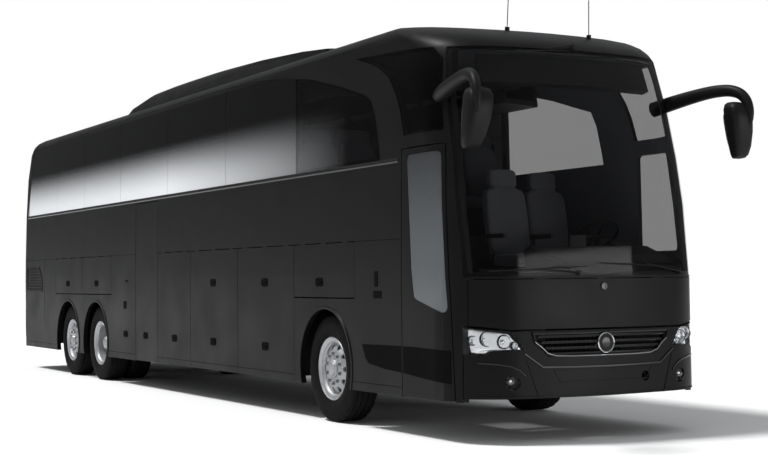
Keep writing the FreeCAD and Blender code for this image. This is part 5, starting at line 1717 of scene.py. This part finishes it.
    def wave(self) -> None:
        """Lay the dark wave across the front door's foot and the panel behind it."""
        corner = FORM.rows(self.wave_z, True)[1]
        for name, body, start, end in self.wave_parts:
            rows = []
            for k in range(self.wave_steps + 1):
                s = start + (end - start) * k / self.wave_steps
                x = FORM.half_width(self.wave_z)
                if s < corner[1]:
                    x = corner[0] + math.sqrt(FORM.nose_radii[0] ** 2 - (corner[1] - s) ** 2)
                root, top = -(x - self.wave_root), -(x + self.wave_proud)
                low, high = self.height(self.wave_lower, s), self.height(self.wave_upper, s)
                rows.append([place(root, s, low), place(top, s, low), place(top, s, high),
                             place(root, s, high)])
            Shape().rows(rows).piece(name, body, SEAL, crease=40)

    def seams(self, side: Side) -> None:
        """Build the strip under the windows and the seams of the fixed panels.

        Args:
            side: The coach's side.
        """
        sign, word = side.value, side.word
        glass = Shape()
        self.strip(glass, sign, *self.window_strip, self.strip_proud)
        glass.piece("window_strip_" + word, "coach", GLOSS_ABS)
        seams = Shape()
        for spans, heights in ((self.waist_seams, self.waist_z), (self.foot_seams, self.foot_z)):
            for stations in spans:
                self.strip(seams, sign, stations, heights, self.seam_proud)
        self.upright(seams, sign, self.tail_seam, self.tail_seam_z)
        seams.piece("panel_seams_" + word, "coach", SEAL)

    def handles(self, side: Side) -> None:
        """Build the handles of the flaps and the panel, and the flaps' foot seams.

        Args:
            side: The coach's side.
        """
        sign, word = side.value, side.word
        by_body: dict[str, Shape] = {}
        for z, places in ((self.upper_z, self.uppers), (self.lower_z, self.lowers)):
            for s, stem in places:
                self.handle(by_body.setdefault(stem + word, Shape()), sign, s, z)
        for body, shape in by_body.items():
            shape.piece("handles_" + body, body, SEAL, crease=30)
            low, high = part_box(body)
            if low.z < self.foot_z[0]:
                seam = Shape()
                stations = (low.y + SHIFT + self.seam_gap, high.y + SHIFT - self.seam_gap)
                self.strip(seam, sign, stations, self.foot_z, self.seam_proud)
                seam.piece("skirt_seam_" + body, body, SEAL)
        panel = Shape()
        self.handle(panel, sign, self.panel_handle, self.lower_z)
        panel.piece("handle_panel_" + word, "coach", SEAL, crease=30)

    def build(self) -> None:
        """Build both sides' trim."""
        self.wave()
        for side in Side:
            sign, word = side.value, side.word
            self.seams(side)
            for axle, s in self.arches:
                name = "arch_lip_%s_%s" % (axle, word)
                self.arch_lip(sign, s).piece(name, "coach", ENAMEL, crease=40)
            self.handles(side)
            small = Shape()
            for s, z, a, b in self.small_flaps:
                self.strip(small, sign, (s - a, s + a), (z - b, z + b), self.strip_proud)
            small.piece("small_flaps_" + word, "coach", SEAL)
            rim, slats = self.vent(sign)
            rim.piece("side_vent_rim_" + word, "coach", ABS)
            slats.piece("side_vent_slats_" + word, "coach", ABS)
        door = Shape()
        self.handle(door, Side.RIGHT.value, self.door_handle, self.lower_z)
        door.piece("mid_door_handle", "mid_door", SEAL, crease=30)


@dataclass
class Mirrors:
    """The hanging outside mirrors: curved arms and moulded heads with their glass.

    A head's rings are (height, x, half width, half depth), and the arm's points are
    (x, station, height, radius).
    """

    rear_s: float = -0.083
    rings: tuple[Four, ...] = (
        (2.378, 1.372, 0.034, 0.022), (2.384, 1.371, 0.056, 0.038), (2.410, 1.368, 0.074, 0.054),
        (2.480, 1.358, 0.090, 0.072), (2.600, 1.342, 0.104, 0.088), (2.720, 1.328, 0.112, 0.094),
        (2.800, 1.320, 0.110, 0.090), (2.846, 1.318, 0.088, 0.074), (2.866, 1.318, 0.046, 0.046))
    arm: tuple[Four, ...] = (
        (1.140, 0.760, 2.885, 0.062), (1.205, 0.540, 2.930, 0.060), (1.250, 0.300, 2.965, 0.054),
        (1.290, 0.100, 2.985, 0.050), (1.330, -0.060, 2.982, 0.047), (1.362, -0.170, 2.945, 0.044),
        (1.380, -0.235, 2.870, 0.040), (1.385, -0.262, 2.780, 0.034), (1.384, -0.262, 2.700, 0.026),
        (1.382, -0.252, 2.650, 0.012))
    arm_flat: float = 1.12
    arm_steps: int = 4
    arm_rounds: int = 3
    pane_z: float = 2.625
    pane_half: float = 0.165
    pane_x: float = 1.355
    pane_x_at: float = 2.5
    pane_lean: float = 0.13
    pane_half_x: float = 0.080
    pane_half_at: float = 2.6
    pane_flare: float = 0.07
    pane_points: int = 32
    pane_square: float = 0.5
    head_points: int = 36
    head_square: float = 0.55
    pane_gap: float = 0.0015
    pane_depth: float = 0.007

    def head(self, shape: Shape, sign: int) -> None:
        """Add one head, lofted through its squared rings.

        Args:
            shape: The shape that gathers it.
            sign: The sign of its side.
        """
        ring = squared_ring(self.head_points, self.head_square)
        shape.rows([[place(sign * (x + half_x * c), self.rear_s - half_s + half_s * e, z)
                     for c, e in ring] for z, x, half_x, half_s in self.rings])

    def curved_arm(self, shape: Shape, sign: int) -> None:
        """Add one arm, its line rounded between the points that it passes.

        Args:
            shape: The shape that gathers it.
            sign: The sign of its side.
        """
        fine = []
        for a, b in zip(self.arm, self.arm[1:]):
            for k in range(self.arm_steps):
                fine.append(tuple(p + (q - p) * k / self.arm_steps for p, q in zip(a, b)))
        fine.append(self.arm[-1])
        for _ in range(self.arm_rounds):
            fine = [fine[0]] + [
                tuple((p + 2 * q + r) / 4 for p, q, r in zip(a, b, c))
                for a, b, c in zip(fine, fine[1:], fine[2:])] + [fine[-1]]
        path = [place(sign * x, s, z) for x, s, z, _ in fine]
        shape.tube(path, [r for *_, r in fine], sides=16, flat=self.arm_flat)

    def pane(self, shape: Shape, sign: int) -> None:
        """Add one head's glass, which narrows and leans with the head.

        Args:
            shape: The shape that gathers it.
            sign: The sign of its side.
        """
        ring = []
        for c, e in squared_ring(self.pane_points, self.pane_square):
            z = self.pane_z + self.pane_half * e
            mid = self.pane_x - self.pane_lean * (z - self.pane_x_at)
            half_x = self.pane_half_x + self.pane_flare * (z - self.pane_half_at)
            ring.append(place(sign * (mid + half_x * c), self.rear_s + self.pane_gap, z))
        shape.plate(ring, Vector((0, -self.pane_depth, 0)))

    def build(self) -> None:
        """Build the arms and heads and set the glass in their rear faces."""
        shape = Shape()
        panes = Shape()
        for side in Side:
            self.head(shape, side.value)
            self.curved_arm(shape, side.value)
            self.pane(panes, side.value)
        made = shape.piece("mirror_arms_and_heads", "coach", ABS, crease=50)
        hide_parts("mirrors")
        panes.piece("mirror_panes", "coach", MIRROR)


@dataclass(frozen=True)
class Padding:
    """One padded part of a seat: where its middle lies, its size, its lean and its channels."""

    along: float
    up: float
    width: float
    depth: float
    height: float
    lean: float = 0.0
    channels: int = 0


@dataclass
class Cabin:
    """Seats, steering wheel and the fittings that show through the glass.

    The passenger pads' widths are what they leave free of a seat's width.
    """

    deck: float = 1.760
    pitch: float = 0.820
    first: float = 3.000
    rows: int = 13
    seat_x: Pair = (0.30, 1.18)
    seat_depth: float = 0.590
    stair: Pair = (7.422, 8.390)
    passenger_pads: tuple[Padding, ...] = (
        Padding(0.225, 0.385, 0.02, 0.46, 0.12, 0.0, 3),
        Padding(0.475, 0.715, 0.02, 0.11, 0.60, 0.225, 3),
        Padding(0.555, 1.055, 0.10, 0.08, 0.16, 0.225))
    crew_pads: tuple[Padding, ...] = (
        Padding(-0.005, 0.44, 0.48, 0.46, 0.12, 0.0, 3),
        Padding(0.300, 0.80, 0.45, 0.12, 0.66, 0.17, 3),
        Padding(0.375, 1.20, 0.30, 0.09, 0.18, 0.1))
    # Parts of a passenger seat's frame, as (along from its front edge, up from the floor)
    back_rail: tuple[Pair, Pair] = ((0.42, 0.40), (0.56, 1.05))
    rail_radius: float = 0.012
    arm_rest: tuple[Pair, Pair] = ((0.10, 0.58), (0.44, 0.60))
    rest_inset: float = 0.02
    rest_radius: float = 0.016
    plinth: tuple[Pair, Pair] = ((0.12, 0.0), (0.30, 0.33))
    plinth_inset: float = 0.12
    shell: tuple[Pair, Pair] = ((0.505, 0.46), (0.588, 1.06))
    shell_inset: float = 0.01
    shell_depth: float = 0.008
    # A crew seat's arm rest, as (across, along, up): its root, elbow and tip
    crew_rest: tuple[Point, Point, Point] = (
        (0.235, 0.20, 0.44), (0.255, 0.22, 0.66), (0.255, -0.08, 0.66))
    crew_post_radius: float = 0.014
    crew_rest_radius: float = 0.022
    # The driver's seat and the guide's, as (x, station)
    crew_spots: Line = ((0.650, 1.500), (0.020, 1.230))
    cab_floor: float = 1.080
    pedestal: Line = (
        (0.0, 0.0), (0.0, 0.13), (0.03, 0.12), (0.06, 0.09), (0.375, 0.09), (0.375, 0.0))
    pedestal_gap: float = 0.002
    hub: Point = (0.650, 1.010, 1.730)
    wheel_tilt: float = -36
    wheel_radius: float = 0.225
    rim_radius: float = 0.0145
    rim_points: int = 48
    spokes: tuple[Point, ...] = ((-0.22, 0.0, 0.0), (0.22, 0.0, 0.0), (0.0, -0.22, 0.0))
    # A spoke's root and middle, as (share of the way to its end, up), and its three radii
    spoke_bends: tuple[Pair, Pair] = ((0.0, -0.006), (0.5, -0.010))
    spoke_radii: Point = (0.022, 0.016, 0.011)
    horn: Line = (
        (-0.028, 0.0), (-0.028, 0.045), (0.004, 0.062), (0.016, 0.05), (0.019, 0.0))
    # The housing's corners in section, as (height, outwards from the nose's form)
    housing: Line = ((3.03, -0.065), (3.29, -0.065), (3.29, -0.17), (3.03, -0.13))
    housing_start: float = -0.90
    housing_step: float = 0.15
    housing_rows: int = 13
    dial_x: Point = (0.52, 0.65, 0.78)
    # A dial's back and face, and the screen's lowest and highest corners, by station
    dial_ends: tuple[Pair, Pair] = ((0.905, 1.632), (0.925, 1.60))
    dial_radius: float = 0.055
    screen: tuple[Point, Point] = ((0.22, 0.80, 1.625), (0.40, 0.825, 1.735))
    screen_edge: float = 0.004

    def seat(self, soft: Shape, hard: Shape, x0: float, x1: float, s: float, z: float) -> None:
        """Add one double seat: two cushions, two backs and headrests on a shell.

        Args:
            soft: The shape that gathers the padding.
            hard: The shape that gathers the shells and legs.
            x0: Its inner edge across.
            x1: Its outer edge across.
            s: The station of its front edge.
            z: The floor's height.
        """
        low, high = min(x0, x1), max(x0, x1)
        width = (high - low) / 2
        y = s - SHIFT
        for k in range(2):
            mid = low + width * (k + 0.5)
            for pad in self.passenger_pads:
                soft.pad((mid, y + pad.along, z + pad.up),
                         (width - pad.width, pad.depth, pad.height), pad.lean, pad.channels)
            r = self.rail_radius
            for x in (mid - width / 2 + r, mid + width / 2 - r):
                hard.tube([(x, y + along, z + up) for along, up in self.back_rail], r, sides=8)
        hard.tube([(low + self.rest_inset, y + along, z + up) for along, up in self.arm_rest],
                  self.rest_radius, sides=8)
        (front, foot), (rear, head) = self.plinth
        inset = self.plinth_inset
        hard.block((low + inset, y + front, z + foot), (high - inset, y + rear, z + head))
        left, right = low + self.shell_inset, high - self.shell_inset
        (front, foot), (rear, head) = self.shell
        outline = [(left, y + front, z + foot), (right, y + front, z + foot),
                   (right, y + rear, z + head), (left, y + rear, z + head)]
        hard.plate(outline, Vector((0, self.shell_depth, 0)))

    def seats(self) -> None:
        """Build the passenger seats, leaving out those at the middle stair."""
        soft = Shape()
        hard = Shape()
        inner, outer = self.seat_x
        for i in range(self.rows):
            s = self.first + self.pitch * i
            self.seat(soft, hard, inner, outer, s, self.deck)
            if s + self.seat_depth <= self.stair[0] or s >= self.stair[1]:
                self.seat(soft, hard, -outer, -inner, s, self.deck)
        made = soft.piece("passenger_seat_cushions", "coach", CLOTH, crease=70)
        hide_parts("passenger_seats")
        hard.piece("passenger_seat_frames", "coach", TRIM, crease=35)

    def crew(self) -> None:
        """Build the driver's and the guide's seats."""
        soft = Shape()
        hard = Shape()
        z = self.cab_floor
        for x, s in self.crew_spots:
            y = s - SHIFT
            for pad in self.crew_pads:
                soft.pad((x, y + pad.along, z + pad.up), (pad.width, pad.depth, pad.height),
                         pad.lean, pad.channels)
            hard.turned(self.pedestal, (x, y, z + self.pedestal_gap), "z", 1, segments=32)
            for side in (-1, 1):
                root, elbow, tip = [(x + side * across, y + along, z + up)
                                    for across, along, up in self.crew_rest]
                hard.tube([elbow, tip], self.crew_rest_radius, sides=10)
                hard.tube([root, elbow], self.crew_post_radius, sides=8)
        made = soft.piece("crew_seat_cushions", "coach", CLOTH, crease=70)
        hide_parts("crew_seats")
        hard.piece("crew_seat_frames", "coach", TRIM, crease=35)

    def wheel(self) -> None:
        """Build the round-rimmed steering wheel."""
        hub = Vector(place(*self.hub))
        tilt = Matrix.Rotation(math.radians(self.wheel_tilt), 4, "X")
        r = self.wheel_radius
        turns = [2 * math.pi * k / self.rim_points for k in range(self.rim_points)]
        shape = Shape()
        shape.tube([(r * math.cos(t), r * math.sin(t), 0.0) for t in turns], self.rim_radius,
                   sides=12, loop=True)
        for end in self.spokes:
            path = [(end[0] * share, end[1] * share, up) for share, up in self.spoke_bends]
            shape.tube(path + [end], list(self.spoke_radii), sides=8, flat=0.6)
        shape.turned(self.horn, (0, 0, 0), "z", 1, segments=32)
        shape.verts = [tuple(hub + tilt @ Vector(v)) for v in shape.verts]
        made = shape.piece("steering_wheel_moulded", "steering_wheel", ABS, crease=40)
        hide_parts("steering_wheel")

    def cab(self) -> None:
        """Build the housing over the screen and the dashboard's instruments."""
        rows = []
        for k in range(self.housing_rows):
            x = self.housing_start + self.housing_step * k
            rows.append([FORM.on_nose(x, z, out) for z, out in self.housing])
        Shape().rows(rows).piece("header_housing", "coach", ABS, crease=40)
        dials = Shape()
        for x in self.dial_x:
            dials.tube([place(x, s, z) for s, z in self.dial_ends], self.dial_radius, sides=24)
        dials.piece("instrument_dials", "coach", GLOSS_ABS, crease=40)
        screen = Shape()
        screen.block(*(place(*corner) for corner in self.screen))
        screen.piece("dashboard_screen", "coach", ABS, bevel=self.screen_edge)

    def build(self) -> None:
        """Build the cabin's fittings."""
        self.seats()
        self.crew()
        self.wheel()
        self.cab()


@dataclass
class RearFace:
    """Lamp bezels, engine lid louvres and the lid's handle.

    The louvre's section is (up, outwards), the bezel's is (rearwards, radius), and the grip's
    points are (x, outwards).
    """

    louvres: int = 9
    louvre_foot: float = 1.16
    louvre_pitch: float = 0.055
    louvre_start: float = -0.70
    louvre_step: float = 0.1
    louvre_columns: int = 15
    louvre_section: Line = (
        (0.0, -0.006), (0.0, 0.012), (0.012, 0.010), (0.034, -0.006))
    lamp_x: float = 1.165
    lamp_z: tuple[float, ...] = (1.05, 1.22, 1.38, 1.54)
    bezel_section: Line = (
        (0.012, 0.052), (0.008, 0.058), (-0.02, 0.06), (-0.02, 0.05))
    grip_z: float = 0.74
    grip: Line = (
        (-0.10, 0.0), (-0.09, 0.022), (0.0, 0.026), (0.09, 0.022), (0.10, 0.0))
    grip_radius: float = 0.008

    def build(self) -> None:
        """Build the rear's fittings."""
        louvres = Shape()
        for k in range(self.louvres):
            z = self.louvre_foot + self.louvre_pitch * k
            rows = []
            for i in range(self.louvre_columns):
                x = self.louvre_start + self.louvre_step * i
                rows.append([FORM.on_tail(x, z + up, out) for up, out in self.louvre_section])
            louvres.rows(rows)
        louvres.piece("engine_lid_louvres", "engine_lid", ABS, crease=40)
        rims = Shape()
        for side in Side:
            for z in self.lamp_z:
                x = side.value * self.lamp_x
                rims.turned(self.bezel_section, (x, FORM.on_tail(x, z)[1], z), "y", 1, segments=36)
        rims.piece("tail_lamp_bezels", "coach", CHROME, crease=40)
        grip = Shape()
        grip.tube([FORM.on_tail(x, self.grip_z, out) for x, out in self.grip], self.grip_radius,
                  sides=10)
        grip.piece("engine_lid_grip", "engine_lid", CHROME, crease=40)


@dataclass
class Studio:
    """Pale floor, soft lights and the camera at the photograph's angle."""

    camera_spot: Point = (-7.4583, -10.0830, 1.3723)
    yaw: float = -28.0777
    pitch: float = 1.8392
    roll: float = -0.6249
    lens: float = 69.67
    sensor: float = 36.0
    clip_end: float = 400
    floor_half: float = 180.0
    floor_colour: str = "#fdfdfd"
    seen_colour: str = "#ffffff"
    sky_colour: str = "#eef0f2"
    # The sky's height, as the sine of its rise, and the strength that it has there
    sky_rise: Pair = (0.05, 0.8)
    sky_strength: Pair = (0.16, 0.55)
    key_energy: float = 2.7
    key_spread: float = 11
    key_aim: Point = (0.40, -0.22, -0.89)
    panel_spot: Point = (11.5, -29.0, 2.6)
    panel_target: Point = (0, -7, 1.7)
    panel_size: Pair = (17.0, 5.0)
    panel_energy: float = 1700

    def camera(self) -> None:
        """Set the camera from the solved view of the photograph."""
        turn, rise, roll = (math.radians(v) for v in (self.yaw, self.pitch, self.roll))
        ahead = Vector((math.sin(-turn) * math.cos(rise), math.cos(turn) * math.cos(rise),
                        math.sin(rise)))
        right = Vector((math.cos(turn), math.sin(turn), 0.0))
        up = right.cross(ahead)
        across = right * math.cos(roll) + up * math.sin(roll)
        above = up * math.cos(roll) - right * math.sin(roll)
        data = bpy.data.cameras.new("photo_camera")
        data.lens = self.lens
        data.sensor_width = self.sensor
        data.sensor_fit = "HORIZONTAL"
        data.clip_end = self.clip_end
        made = linked("photo_camera", data)
        basis = Matrix((across, above, -ahead)).transposed().to_4x4()
        made.matrix_world = Matrix.Translation(Vector(place(*self.camera_spot))) @ basis
        bpy.context.scene.camera = made

    def floor(self) -> None:
        """Lay the pale floor that keeps the coach's shadow."""
        shape = bpy.data.meshes.new("studio_floor")
        r = self.floor_half
        shape.from_pydata([(-r, -r, 0), (r, -r, 0), (r, r, 0), (-r, r, 0)], [], [(0, 1, 2, 3)])
        made = linked("studio_floor", shape)
        paper = bpy.data.materials.new("matt_studio_paper")
        tree = empty_tree(paper)
        dull = add_node(tree, "ShaderNodeBsdfDiffuse", {"Color": linear(self.floor_colour)})
        add_node(tree, "ShaderNodeOutputMaterial", links={"Surface": dull.outputs[0]})
        shape.materials.append(paper)

    def world(self) -> None:
        """Set a sky that lights the coach softly and that camera and glass see as white."""
        world = bpy.data.worlds.new("studio_world")
        bpy.context.scene.world = world
        tree = empty_tree(world)
        rays = add_node(tree, "ShaderNodeLightPath")
        seen = add_node(tree, "ShaderNodeMath", {"operation": "MAXIMUM"},
            {0: rays.outputs["Is Camera Ray"], 1: rays.outputs["Is Transmission Ray"]})
        white = add_node(tree, "ShaderNodeBackground",
            {"Color": linear(self.seen_colour), "Strength": 1.0})
        aim = add_node(tree, "ShaderNodeTexCoord")
        parts = add_node(tree, "ShaderNodeSeparateXYZ", links={0: aim.outputs["Generated"]})
        rise = add_node(tree, "ShaderNodeMapRange",
            {"From Min": self.sky_rise[0], "From Max": self.sky_rise[1],
             "To Min": self.sky_strength[0], "To Max": self.sky_strength[1]},
            {"Value": parts.outputs[2]})
        fill = add_node(tree, "ShaderNodeBackground", {"Color": linear(self.sky_colour)},
            {"Strength": rise.outputs[0]})
        pick = add_node(tree, "ShaderNodeMixShader",
            links={0: seen.outputs[0], 1: fill.outputs[0], 2: white.outputs[0]})
        add_node(tree, "ShaderNodeOutputWorld", links={"Surface": pick.outputs[0]})

    def lights(self) -> None:
        """Light the coach softly from above and behind its door side, and its front too."""
        key = bpy.data.lights.new("key_lamp", "SUN")
        key.energy = self.key_energy
        key.angle = math.radians(self.key_spread)
        made = linked("key_lamp", key)
        made.rotation_euler = Vector(self.key_aim).to_track_quat("-Z", "Y").to_euler()
        panel = bpy.data.lights.new("front_panel", "AREA")
        panel.shape = "RECTANGLE"
        panel.size, panel.size_y = self.panel_size
        panel.energy = self.panel_energy
        made = linked("front_panel", panel)
        made.location = self.panel_spot
        aim = Vector(self.panel_target) - made.location
        made.rotation_euler = aim.to_track_quat("-Z", "Y").to_euler()

    def build(self) -> None:
        """Set the studio and the plain view transform."""
        bpy.context.scene.view_settings.view_transform = "Standard"
        self.camera()
        self.floor()
        self.world()
        self.lights()


def plain(box: tuple[Vector, Vector]) -> list[list[float]]:
    """Return a box's two corners as plain lists."""
    return [[float(v) for v in corner] for corner in box]


def main() -> None:
    """Build the studio and every sub-assembly in order."""
    logging.basicConfig(level=logging.INFO, format="%(name)s: %(message)s")
    for part in (Studio(), BodySkins(), Wheels(), FrontFace(), SideTrim(), Mirrors(), Cabin(),
                 RearFace()):
        part.build()
        LOG.info("%s built", type(part).__name__)


if __name__ == "__main__":
    main()
